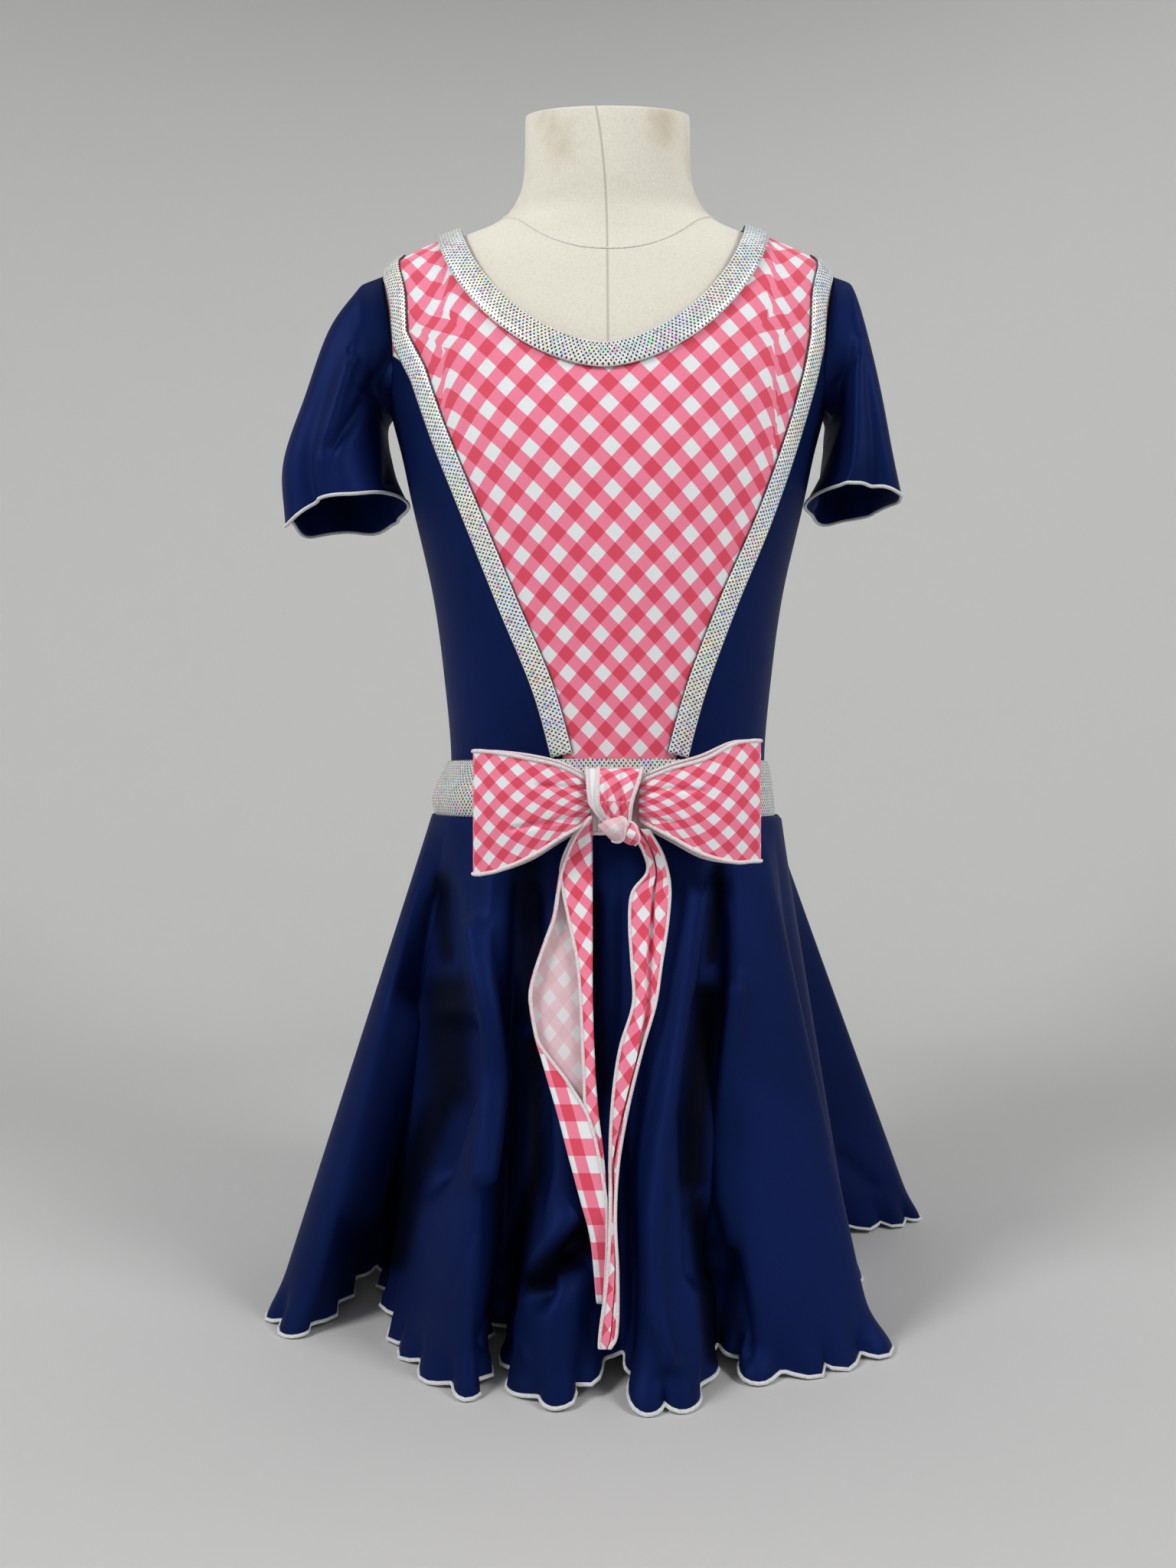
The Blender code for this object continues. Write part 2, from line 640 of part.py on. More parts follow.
def make_belt():
    """The silver belt, bulging between its two seams."""
    angles = np.arange(BELT_COLUMNS) * 360 / BELT_COLUMNS
    shares = np.linspace(0, 1, BELT_ROWS)[:, None]
    height = BELT_FOOT + (BELT_TOP - BELT_FOOT) * shares
    grid = settle(ring(height, angles[None]), belt_out(shares, angles[None]))
    cloth("belt", "silver", [grid], around=True, outwards=False)


def hem_curve():
    """The hem on the table, as a closed curve, and the waist angle of each of its points.

    It runs valley, shoulder, shoulder, valley through every flute, as a closed cubic spline, and
    the waist angle grows evenly along the cloth from each valley to the next.
    """
    table = np.array(FLUTES)
    knots = []
    for flute in table:
        knots.extend([(*flute[0:2], flute[7]), (*flute[2:4], HEM_LIFT), (*flute[4:6], HEM_LIFT)])
    knots = np.array(knots)
    slope = (np.roll(knots, -1, axis=0) - np.roll(knots, 1, axis=0)) / 2
    slope[0::3] *= VALLEY_TIGHTNESS
    points, angles = [], []
    for index in range(len(knots)):
        steps = STEPS_ACROSS if index % 3 == 1 else STEPS_TO_SHOULDER
        following = (index + 1) % len(knots)
        for t in np.arange(steps) / steps:
            start = (1 + 2 * t) * (1 - t) ** 2 * knots[index] + t * (1 - t) ** 2 * slope[index]
            end = t * t * (3 - 2 * t) * knots[following] + t * t * (t - 1) * slope[following]
            points.append(start + end)
    points = np.array(points)
    points[:, 2] = np.maximum(points[:, 2], HEM_LIFT)
    each = STEPS_ACROSS + 2 * STEPS_TO_SHOULDER
    closed = np.concatenate([points, points[:1]])
    lengths = np.linalg.norm(np.diff(closed, axis=0), axis=1)
    waist = np.append(table[:, 6], table[0, 6] + 360)
    for index in range(len(table)):
        part = lengths[index * each:(index + 1) * each]
        run = np.concatenate([[0], np.cumsum(part)[:-1]]) / part.sum()
        angles.extend(waist[index] + (waist[index + 1] - waist[index]) * run)
    return points, np.array(angles)


def make_skirt():
    """The navy skirt: straight fall lines from a small shelf at the waist to the fluted hem."""
    hem, angles = hem_curve()
    share = (SKIRT_TOP - BELT_FOOT) / (BELT_TOP - BELT_FOOT)
    stand = belt_out(share, angles) + SKIRT_STAND
    top = settle(ring(np.full(len(angles), SKIRT_TOP), angles), stand)
    upper = (SKIRT_SEAM - BELT_FOOT) / (BELT_TOP - BELT_FOOT)
    reach = belt_out(upper, angles) + LAYER_GAP + WALL
    seam = settle(ring(np.full(len(angles), SKIRT_SEAM), angles), reach)
    rows = [hem + (top - hem) * t for t in np.linspace(0, 1, SKIRT_ROWS + 1)]
    grid = np.stack(rows + [seam])
    cloth("skirt", "navy stretch", [grid], around=True, outwards=False)


def sleeve_grid(table, waves, side):
    """A sleeve's sections from the armhole down to the hem, with its ruffle waves.

    A section is an ellipse between its outer and inner points. A wave is a bell in angle, whose
    push and drop grow with powers of the share of the way down.
    """
    data = smooth(table, SLEEVE_ROWS)
    turns = np.arange(SLEEVE_COLUMNS) * 360 / SLEEVE_COLUMNS
    cosine, sine = np.cos(np.radians(turns)), np.sin(np.radians(turns))
    share = np.linspace(0, 1, SLEEVE_ROWS)[:, None]
    push = np.zeros((SLEEVE_ROWS, SLEEVE_COLUMNS))
    drop = np.zeros((SLEEVE_ROWS, SLEEVE_COLUMNS))
    for angle, width, out, fall in waves:
        away = (turns - angle + 180) % 360 - 180
        bell = np.exp(-(away / width) ** 2)
        push += out * bell * share ** WAVE_PUSH_POWER
        drop += fall * bell * share ** WAVE_DROP_POWER
    middle, arm = (data[:, 0:2] + data[:, 2:4]) / 2, (data[:, 0:2] - data[:, 2:4]) / 2
    x = middle[:, :1] + (arm[:, :1] + WAVE_SIDEWAYS * push) * cosine
    y = -(data[:, 4:] + push) * sine
    z = middle[:, 1:] + arm[:, 1:] * cosine - drop
    grid = np.stack([side * x, y, z], axis=-1)
    grid[0] = settle(armhole(turns, side, -ARM_INSET), SLEEVE_OUT)
    return grid


def make_sleeves():
    """Flutter sleeves: open tubes from the armholes to the waved hems."""
    for side, name, table, waves in ((-1, "sleeve_L", SLEEVE_L, WAVES_L),
                                     (1, "sleeve_R", SLEEVE_R, WAVES_R)):
        upwards = sleeve_grid(table, waves, side)[::-1]
        cloth(name, "navy stretch", [upwards[:, ::side * -1]], around=True, outwards=False)


def make_loops():
    """Bow loops: flat tubes of two layers, folded at the outer edge, gathered at the knot."""
    up = np.linspace(0, 1, LOOP_ROWS)
    belly = LOOP_BELLY * np.sin(np.pi * up)
    for side, name, table in ((-1, "bow_loop_L", LOOP_L), (1, "bow_loop_R", LOOP_R)):
        rows = smooth(table, LOOP_COLUMNS)
        end_x, end_low, end_high, end_front, end_back = rows[-1]
        outline = [(x, front - belly, low, high) for x, low, high, front, back in rows]
        outline.append((end_x + side * LOOP_FOLD, (end_front + end_back) / 2, end_low, end_high))
        outline.extend((x, back, low, high) for x, low, high, front, back in rows[::-1])
        grid = np.stack([
            np.stack(np.broadcast_arrays(x, y, low + (high - low) * up), axis=-1)
            for x, y, low, high in outline], axis=1)
        cloth(name, "gingham", [grid[:, ::side]], wall=BOW_WALL, outwards=False)


def make_knot():
    """The knot: a band of cloth round the gathered ends of the loops."""
    turn = np.radians(np.arange(KNOT_COLUMNS) * 360 / KNOT_COLUMNS)
    y_middle, z_middle = KNOT_MIDDLE
    share, high, deep = smooth(KNOT, KNOT_ROWS).T[:, :, None]
    x = KNOT_LEFT + (KNOT_RIGHT - KNOT_LEFT) * share
    y = y_middle - deep * np.cos(turn)
    z = z_middle + high * np.sin(turn)
    grid = np.stack(np.broadcast_arrays(x, y, z), axis=-1)[::-1]
    cloth("bow_knot", "gingham", [grid], wall=BOW_WALL, around=True, outwards=False)


def make_tie():
    """The small tie under the knot that the tails come out of."""
    bpy.ops.mesh.primitive_uv_sphere_add(segments=TIE_SEGMENTS, ring_count=TIE_RINGS, radius=1.0)
    piece = bpy.context.object
    piece.name = "bow_tie"
    piece.data.name = "bow_tie"
    for group in piece.users_collection:
        group.objects.unlink(piece)
    COLLECTION.objects.link(piece)
    piece.scale = [size * CM for size in TIE_SIZE]
    piece.rotation_euler = (0.0, math.radians(TIE_TILT), 0.0)
    piece.location = [value * CM for value in TIE_MIDDLE]
    piece.data.materials.append(material("gingham"))
    piece.data.shade_smooth()


def make_tails():
    """Bow tails: strips folded lengthwise, hanging from the tie in front of the skirt."""
    grid = []
    for z, y, fold, front, back in smooth(TAIL_L, TAIL_ROWS)[::-1]:
        behind = y + TAIL_LAYERS
        turned = fold - TAIL_EDGE
        grid.append([
            (front, y, z), ((front + fold) / 2, y - TAIL_BELLY, z), (turned, y, z),
            (fold, (y + behind) / 2, z), (turned, behind, z),
            ((back + fold) / 2, behind + TAIL_BELLY, z), (back, behind, z),
        ])
    cloth("bow_tail_L", "gingham", [np.array(grid)], wall=BOW_WALL, outwards=False)
    grid = []
    for z, y, left, right, slit in smooth(TAIL_R, TAIL_ROWS)[::-1]:
        behind = y + TAIL_LAYERS
        inner_left, inner_right = left + TAIL_EDGE, right - TAIL_EDGE
        grid.append([
            (slit + TAIL_EDGE, y, z), (inner_right, y, z), (right, (y + behind) / 2, z),
            (inner_right, behind, z), (inner_left, behind, z), (left, (y + behind) / 2, z),
            (inner_left, y, z), (slit - TAIL_EDGE, y, z),
        ])
    cloth("bow_tail_R", "gingham", [np.array(grid)], wall=BOW_WALL, outwards=True)


def make_form():
    """The limbless dress form: a smooth torso from its flat base to the neck's leaning top."""
    heights = np.array([row[0] for row in FORM])
    halves = (heights[:-1] + heights[1:]) / 2
    heights = np.sort(np.concatenate([heights, halves[6:12], halves[17:19]]))
    angles = np.arange(FORM_COLUMNS) * 360 / FORM_COLUMNS
    grid = ring(heights[:, None], angles[None])
    solid("form_body", "cream knit", grid)


for old in list(bpy.data.objects):
    bpy.data.objects.remove(old, do_unlink=True)
COLLECTION = bpy.data.collections.new("ice skating dress")
bpy.context.scene.collection.children.link(COLLECTION)

make_form()
make_front()
make_sides()
make_back()
make_neck_band()
make_trims()
make_belt()
make_skirt()
make_sleeves()
make_loops()
make_knot()
make_tie()
make_tails()
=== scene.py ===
"""The looks of a child's ice skating dress on its limbless dress form.

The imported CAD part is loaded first, as a fixed frame, and each piece of cloth here stands for the
node of its name. Sizes are centimetres unless they say otherwise, and become metres in the meshes.
+Z is up, the dress's front faces -Y and +X is the viewer's right. Angles round the body are in
degrees, counted from the front towards +X.
"""
import math

import bpy
import numpy as np
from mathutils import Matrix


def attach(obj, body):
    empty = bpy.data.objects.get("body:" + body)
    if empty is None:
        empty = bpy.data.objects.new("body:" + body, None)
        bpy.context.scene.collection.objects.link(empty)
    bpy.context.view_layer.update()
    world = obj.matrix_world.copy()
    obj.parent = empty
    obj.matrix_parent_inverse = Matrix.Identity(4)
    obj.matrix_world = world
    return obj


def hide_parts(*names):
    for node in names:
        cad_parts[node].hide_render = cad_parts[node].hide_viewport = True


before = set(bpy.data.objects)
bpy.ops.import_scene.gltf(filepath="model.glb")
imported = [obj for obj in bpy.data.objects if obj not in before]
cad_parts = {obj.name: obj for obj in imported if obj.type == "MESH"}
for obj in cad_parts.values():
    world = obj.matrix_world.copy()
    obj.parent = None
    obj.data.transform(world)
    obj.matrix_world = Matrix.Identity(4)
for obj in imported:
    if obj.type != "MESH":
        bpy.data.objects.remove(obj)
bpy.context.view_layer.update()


# The studio. A pale floor sweeps up into a wall all round, as in a photographer's cove, under large
# soft lights. The camera stands close in front of the form with a wide lens, level, at half the
# form's height.
CAMERA_PLACE = (-0.012, -0.73, 0.30)
CAMERA_LENS, CAMERA_SENSOR = 26.12, 34.6
FLOOR_FLAT, FLOOR_BEND, FLOOR_REACH = 0.7, 1.2, 2.2
FLOOR_RINGS, FLOOR_SPOKES = 60, 96
FLOOR_COLOUR = (0.60, 0.60, 0.595)
# Metres and watts: the light's place, the point it faces, its width and height, and its power
LIGHTS = (
    ("key", (-1.35, -1.0, 1.7), (0.0, 0.0, 0.35), 0.6, 0.6, 27.0),
    ("fill", (1.4, -0.9, 1.5), (0.0, 0.0, 0.35), 0.6, 0.6, 21.0),
    ("wall", (0.25, 0.5, 2.3), (0.25, 2.1, 0.6), 1.8, 0.5, 8.0),
)
SKY_STRENGTH, SKY_COLOUR = 0.05, (0.9, 0.92, 0.95)


class Shade:
    """A number, colour or vector in a material. Arithmetic on a number adds the Math nodes."""

    def __init__(self, tree, socket=None):
        self.tree, self.socket = tree, socket

    def node(self, kind, settings=None, inputs=None, output=0):
        """Adds a node of any kind: its settings first, then the values or links of its sockets."""
        made = self.tree.nodes.new("ShaderNode" + kind)
        for name, value in (settings or {}).items():
            setattr(made, name, value)
        for name, value in (inputs or {}).items():
            if isinstance(value, Shade):
                self.tree.links.new(value.socket, made.inputs[name])
            else:
                made.inputs[name].default_value = value
        return Shade(self.tree, made.outputs[output] if len(made.outputs) else None)

    def maths(self, operation, *values):
        return self.node("Math", {"operation": operation}, dict(enumerate(values)))

    def __add__(self, other):
        return self.maths("ADD", self, other)

    def __sub__(self, other):
        return self.maths("SUBTRACT", self, other)

    def __rsub__(self, other):
        return self.maths("SUBTRACT", other, self)

    def __mul__(self, other):
        return self.maths("MULTIPLY", self, other)

    __radd__, __rmul__ = __add__, __mul__

    def wave(self):
        """cos(2 pi t): 1 at whole numbers, -1 half way between them."""
        return self.maths("COSINE", self * (2 * math.pi))

    def step(self, low, high):
        """0 below one value and 1 above the other, with a smooth rise between them."""
        return self.node("MapRange", {"interpolation_type": 'SMOOTHSTEP'},
                         {"Value": self, "From Min": low, "From Max": high})

    def mix(self, low, high):
        """A colour from low to high as this number goes from 0 to 1."""
        return self.node("Mix", {"data_type": 'RGBA'}, {0: self, 6: low, 7: high}, output=2)

    def parts(self):
        """The X, Y and Z of a vector."""
        return [self.node("SeparateXYZ", {}, {0: self}, output=axis) for axis in range(3)]

    def place(self):
        """The place on the object, in metres."""
        return self.node("TexCoord", output="Object")

    def marks(self):
        """The two pattern marks of the cloth."""
        return self.node("UVMap", {"uv_map": "cloth"}).parts()[:2]

    def noise(self, place, scale, detail):
        """A noise from 0 to 1 over places, of a scale, with so many finer steps."""
        return self.node("TexNoise", {}, {"Vector": place, "Scale": scale, "Detail": detail})

    def bump(self, strength, distance, height):
        """The direction of a surface that a height makes uneven, by a distance in metres."""
        return self.node("Bump", {}, {"Strength": strength, "Distance": distance, "Height": height})


def start(name):
    """An empty material, and a value in it to build on."""
    material = bpy.data.materials.new(name)
    material.use_nodes = True
    material.node_tree.nodes.clear()
    return material, Shade(material.node_tree)


def dress_up(value, **sockets):
    """Ends a material: its one surface shader, from sockets named with _ for spaces."""
    inputs = {name.replace("_", " "): entry for name, entry in sockets.items()}
    shader = value.node("BsdfPrincipled", {}, inputs)
    value.node("OutputMaterial", {}, {"Surface": shader})


def tint(red, green, blue):
    """A colour as a socket takes it."""
    return (red, green, blue, 1.0)


def put(name, points, faces, finishes, marks=None):
    """A smooth mesh object in the scene, with its pattern marks as the UV map "cloth"."""
    mesh = bpy.data.meshes.new(name)
    mesh.from_pydata(points.reshape(-1, 3).tolist(), [], faces.tolist())
    if marks is not None:
        layer = mesh.uv_layers.new(name="cloth")
        layer.data.foreach_set("uv", marks.astype(np.float32).ravel())
    mesh.shade_smooth()
    for finish in finishes:
        mesh.materials.append(finish)
    piece = bpy.data.objects.new(name, mesh)
    bpy.context.scene.collection.objects.link(piece)
    return piece


def quads(rows, columns, around):
    """The four corners (row, column) of each face of a grid, columns wrapped if it goes around."""
    row, column = np.mgrid[0:rows - 1, 0:columns if around else columns - 1]
    corners = ((row, column), (row, column + 1), (row + 1, column + 1), (row + 1, column))
    return [(r.ravel(), c.ravel()) for r, c in corners]


def stacked(*parts):
    """The points of a grid, or its marks, from the arrays of their coordinates."""
    return np.stack(np.broadcast_arrays(*parts), axis=-1)


def floor_sweep():
    """The floor: height = bend * (radius - flat)^2 outside its flat middle, spun round."""
    radius = np.linspace(0.0, FLOOR_REACH, FLOOR_RINGS)[:, None]
    turn = np.arange(FLOOR_SPOKES)[None] * 2 * np.pi / FLOOR_SPOKES
    height = FLOOR_BEND * np.maximum(radius - FLOOR_FLAT, 0.0) ** 2
    grid = stacked(radius * np.sin(turn), -radius * np.cos(turn), height)
    corners = quads(FLOOR_RINGS, FLOOR_SPOKES, True)
    faces = np.stack([r * FLOOR_SPOKES + c % FLOOR_SPOKES for r, c in corners], axis=-1)
    return grid, faces[:, ::-1]


floor_finish, value = start("studio floor")
dress_up(value, Base_Color=tint(*FLOOR_COLOUR), Roughness=0.85)
floor = put("studio_floor", *floor_sweep(), [floor_finish])

camera = bpy.data.objects.new("camera", bpy.data.cameras.new("camera"))
camera.data.lens, camera.data.sensor_width = CAMERA_LENS, CAMERA_SENSOR
camera.location = CAMERA_PLACE
camera.rotation_euler = (math.pi / 2, 0.0, 0.0)
bpy.context.scene.collection.objects.link(camera)
bpy.context.scene.camera = camera

for name, place, aim, width, height, power in LIGHTS:
    lamp = bpy.data.lights.new(name, 'AREA')
    lamp.shape, lamp.size, lamp.size_y, lamp.energy = 'RECTANGLE', width, height, power
    holder = bpy.data.objects.new(name, lamp)
    holder.location = place
    reach = [end - begin for begin, end in zip(place, aim)]
    pitch = math.atan2(math.hypot(reach[0], reach[1]), -reach[2])
    holder.rotation_euler = (pitch, 0.0, math.atan2(-reach[0], reach[1]))
    bpy.context.scene.collection.objects.link(holder)
sky = bpy.data.worlds.new("studio air")
sky.use_nodes = True
sky.node_tree.nodes["Background"].inputs["Color"].default_value = tint(*SKY_COLOUR)
sky.node_tree.nodes["Background"].inputs["Strength"].default_value = SKY_STRENGTH
bpy.context.scene.world = sky
bpy.context.scene.view_settings.view_transform = 'Standard'


# The dress form. A foam torso with no limbs in a fine cream knit cover, sewn with a seam round the
# foot of the neck and another down the middle of the front. It stands on its flat base.
CM = 0.01
# Level sections: height, half width, front depth, back depth, squareness (2 is an ellipse) and
# lean, the rise towards the back for each cm of depth
FORM = (
    (0.0, 10.3, 8.0, 8.2, 2.3, 0.0),
    (3.0, 10.8, 8.3, 8.7, 2.3, 0.0),
    (10.0, 11.1, 8.4, 9.2, 2.3, 0.0),
    (17.0, 10.9, 8.1, 9.1, 2.3, 0.0),
    (22.5, 10.3, 7.6, 8.3, 2.25, 0.0),
    (27.5, 9.5, 7.2, 7.2, 2.2, 0.0),
    (31.5, 9.3, 7.15, 6.9, 2.2, 0.0),
    (36.5, 9.72, 7.6, 7.3, 2.2, 0.0),
    (41.5, 10.4, 8.2, 8.0, 2.25, 0.0),
    (47.0, 11.65, 8.6, 8.6, 2.3, 0.0),
    (50.0, 12.3, 8.5, 8.8, 2.3, 0.0),
    (53.5, 13.2, 7.9, 8.9, 2.35, 0.0),
    (56.5, 13.75, 7.1, 8.4, 2.35, 0.0),
    (59.0, 13.95, 6.2, 7.2, 2.25, 0.0),
    (60.6, 13.7, 5.6, 6.3, 2.1, 0.0),
    (61.6, 12.7, 5.15, 5.6, 1.9, 0.0),
    (62.3, 11.3, 4.95, 5.2, 1.8, 0.0),
    (63.0, 9.6, 4.85, 5.0, 1.7, 0.0),
    (63.7, 7.9, 4.8, 4.9, 1.7, 0.05),
    (64.6, 6.5, 4.8, 4.85, 1.8, 0.12),
    (65.8, 5.6, 4.85, 4.85, 1.95, 0.2),
    (67.4, 5.15, 4.9, 4.9, 2.0, 0.3),
    (71.0, 5.05, 4.95, 4.95, 2.0, 0.43),
)
FORM_FINE = 900
FORM_COLUMNS = 120
FORM_LOW_ROWS, FORM_HIGH_ROWS = 70, 26
# The neck seam: its height at the front, its rise to the sides, the half width where it has risen
# so far, how sharply it rises, and its piping's radius
SEAM_FRONT, SEAM_RISE, SEAM_HALF, SEAM_POWER = 60.5, 4.2, 6.4, 2.4
PIPING = 0.065
# An edge's thread: its size at an open end as a share, and how level its path has to be at least
ROLL_END, LEAST_LEVEL = 0.3, 0.05
# The heights between which the seam is looked for, and how often their gap is halved
SEAM_LOW, SEAM_HIGH, SEAM_HALVINGS = 59.5, 66.0, 40
# How much the form's rows crowd towards the seam, from below and from above
LOW_CROWD, HIGH_CROWD = 1.6, 1.7
# The front seam leans to the viewer's left above the neck seam: its middle, lean and power
LEAN_MIDDLE, LEAN, LEAN_POWER = -0.1, 0.0034, 2.45
# The neck's rounded top: rise above the last section, and size as a share of it
NECK_ROUND = ((0.06, 0.9965), (0.12, 0.987), (0.16, 0.965), (0.19, 0.9), (0.2, 0.45), (0.2, 0.02))


def spline(t, begin, end, leave, arrive):
    """A cubic between two points at a share t of the way, with its slopes at both."""
    return ((1 + 2 * t) * begin + t * leave) * (1 - t) ** 2 + (
        (3 - 2 * t) * end + (t - 1) * arrive) * t * t


def smooth(rows, count):
    """Reads a table smoothly: a Catmull-Rom cubic through its rows, with count even steps."""
    rows = np.array(rows, float)
    slope = np.gradient(rows, axis=0)
    place = np.linspace(0, len(rows) - 1, count)
    low = np.minimum(place.astype(int), len(rows) - 2)
    return spline((place - low)[:, None], rows[low], rows[low + 1], slope[low], slope[low + 1])


PROFILE = smooth(FORM, FORM_FINE)
SLOPES = np.gradient(PROFILE, PROFILE[:, 0], axis=0)


def section(height, table=PROFILE):
    """Half width, front depth, back depth, squareness and lean of the form at a height."""
    return [np.interp(height, PROFILE[:, 0], column) for column in table.T[1:]]


def ring(height, angle):
    """The form's level section: x = a |sin|^(2/n), y = -d |cos|^(2/n)."""
    height, angle = np.broadcast_arrays(np.asarray(height, float), np.radians(angle))
    half, front, back, square, lean = section(height)
    sine, cosine = np.sin(angle), np.cos(angle)
    depth = np.where(cosine > 0, front, back)
    x = half * np.sign(sine) * np.abs(sine) ** (2 / square)
    y = -depth * np.sign(cosine) * np.abs(cosine) ** (2 / square)
    return np.stack([x, y, height + lean * y], axis=-1)


def neck_seam(angle):
    """The seam's height at each angle: front height + rise * (|x| / half)^power, by halving."""
    low, high = np.full(angle.shape, SEAM_LOW), np.full(angle.shape, SEAM_HIGH)
    for _ in range(SEAM_HALVINGS):
        middle = (low + high) / 2
        x = np.abs(ring(middle, angle)[..., 0])
        over = middle > SEAM_FRONT + SEAM_RISE * (x / SEAM_HALF) ** SEAM_POWER
        low, high = np.where(over, low, middle), np.where(over, middle, high)
    return (low + high) / 2


def form_skin():
    """The torso: rows from the base up to the neck seam and on to the neck's top.

    The rows crowd towards the seam. Above the top row, rings of the neck's last section draw in to
    close it.
    """
    angle = np.arange(FORM_COLUMNS) * 360.0 / FORM_COLUMNS
    seam = neck_seam(angle)
    low = 1 - (1 - np.linspace(0, 1, FORM_LOW_ROWS)) ** LOW_CROWD
    high = np.linspace(0, 1, FORM_HIGH_ROWS)[1:] ** HIGH_CROWD
    height = np.concatenate([seam * low[:, None], seam + (FORM[-1][0] - seam) * high[:, None]])
    grid = ring(height, angle[None])
    middle = grid[-1].mean(axis=0)
    caps = [middle + (grid[-1] - middle) * share + (0, 0, rise) for rise, share in NECK_ROUND]
    return np.concatenate([grid, np.stack(caps)])


def skin(name, grid, finish, marks=None, around=False, ends=False):
    """A mesh through a grid of points in cm, rows up and columns to the viewer's right.

    The pattern marks are a grid too, with one more column where the cloth goes around. With ends,
    the first and last rings are closed by a face each.
    """
    rows, columns = grid.shape[:2]
    corners = quads(rows, columns, around)
    faces = np.stack([r * columns + c % columns for r, c in corners], axis=-1)
    if marks is not None:
        marks = np.stack([marks[r, c] for r, c in corners], axis=1)
    faces = faces.tolist()
    if ends:
        faces.append(list(range(columns))[::-1])
        faces.append(list(range((rows - 1) * columns, rows * columns)))
        if marks is not None:
            marks = np.concatenate([marks.reshape(-1, 2), np.zeros((2 * columns, 2))])
    return put(name, grid * CM, np.array(faces, dtype=object), finish, marks)


def run_of(points, closed, axis=0):
    """Which way points follow each other along an axis of their grid, at each of them."""
    if closed:
        return np.roll(points, -1, axis=axis) - np.roll(points, 1, axis=axis)
    return np.gradient(points, axis=axis)


def rolled(name, path, radius, finish, closed=True, sides=8):
    """A thread-covered edge: a round section of points carried along a path in cm.

    The section's two directions are square to the path; the first is the level one, or +X where
    the path is too steep for it. On an open path the section shrinks at both ends, where a face
    closes it.
    """
    run = run_of(path, closed)
    run /= np.linalg.norm(run, axis=1, keepdims=True)
    level = np.cross(run, (0.0, 0.0, 1.0))
    steep = np.linalg.norm(level, axis=1, keepdims=True)
    level = np.where(steep > LEAST_LEVEL, level / np.maximum(steep, LEAST_LEVEL), (1.0, 0.0, 0.0))
    rise = np.cross(level, run)
    turn = np.arange(sides)[None, :, None] * 2 * np.pi / sides
    size = np.full((len(path), 1, 1), radius)
    if not closed:
        size[[0, -1]] *= ROLL_END
    grid = path[:, None] + size * (level[:, None] * np.cos(turn) + rise[:, None] * np.sin(turn))
    if closed:
        corners = quads(len(path) + 1, sides, True)
        faces = np.stack([(r % len(path)) * sides + c % sides for r, c in corners], axis=-1)
        piece = put(name, grid * CM, faces[:, ::-1], finish)
    else:
        piece = skin(name, grid[:, ::-1], finish, around=True, ends=True)
    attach(piece, "root")
    return piece


def edged(name, paths, radius, finish, closed=True, sides=8):
    """Thread-covered edges along paths in cm, numbered after their name."""
    return [rolled("%s_%d" % (name, index), path, radius, [finish], closed, sides)
            for index, path in enumerate(paths)]


def thread(name, colour):
    """Overlocked thread: matt, with the close turns of the thread as a bump."""
    finish, value = start(name)
    turns = value.noise(value.place(), 1100.0, 1.0)
    shaded = turns.step(0.3, 0.7).mix(tint(*[0.8 * part for part in colour]), tint(*colour))
    dress_up(value, Base_Color=shaded, Roughness=0.8, Normal=value.bump(0.5, 0.0003, turns))
    return finish


def knit_cover():
    """Cream knit: fine cross threads in a bump, faint stains on the neck, a darker front seam.

    The seam's line is x = middle - lean * (height above the neck seam)^power.
    """
    finish, value = start("cream knit cover")
    place = value.place()
    x, y, z = place.parts()
    stain = value.noise(place, 24.0, 4.0)
    weave = value.noise(place, 900.0, 2.0)
    worn = stain.step(0.5, 0.72) * z.step(0.63, 0.69)
    colour = (worn * 0.7).mix(tint(0.76, 0.73, 0.63), tint(0.58, 0.48, 0.34))
    colour = (weave.step(0.35, 0.7) * 0.3).mix(colour, tint(0.52, 0.49, 0.42))
    above = value.maths("MAXIMUM", z * 100 - SEAM_FRONT, 0.0)
    line = x * 100 - LEAN_MIDDLE + value.maths("POWER", above, LEAN_POWER) * LEAN
    off = value.maths("ABSOLUTE", line)
    seam = (1 - off.step(0.03, 0.1)) * (1 - y.step(-0.01, 0.0)) * 0.55
    colour = seam.mix(colour, tint(0.33, 0.29, 0.23))
    dress_up(value, Base_Color=colour, Roughness=0.9, Sheen_Weight=0.15,
             Normal=value.bump(0.35, 0.0004, weave))
    return finish


form = skin("form_cover", form_skin(), [knit_cover()], around=True, ends=True)
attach(form, "root")
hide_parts("form_body")
turns = np.arange(FORM_COLUMNS) * 360.0 / FORM_COLUMNS
rolled("form_neck_piping", ring(neck_seam(turns), turns), PIPING,
       [thread("cream seam piping", (0.80, 0.78, 0.70))])


# The gingham front. Stretch jersey printed with a pink check that is cut on the bias, sewn into a V
# between the two side fronts. It lies on the form, and the silver bands cover its cut edges.
# The part's cloth thickness, and its gaps over the form, along seams, between layers and at the
# armholes. The cloth here has the same outer face and is thinner
WALL, FORM_GAP, SEAM_GAP, LAYER_GAP, ARM_GAP = 0.12, 0.15, 0.06, 0.08, 0.10
PANEL_FACE, CLOTH = FORM_GAP + WALL, 0.07
BODICE_FOOT = 29.5
# The bands' middle line on the front: height, distance left and right of the middle
BAND_LINE = (
    (29.5, -2.1, 3.2),
    (35.0, -3.5, 4.6),
    (40.0, -5.5, 6.4),
    (45.0, -7.5, 8.5),
    (50.0, -9.5, 10.3),
    (54.3, -11.0, 11.6),
)
SEAM_TURN = 53.5
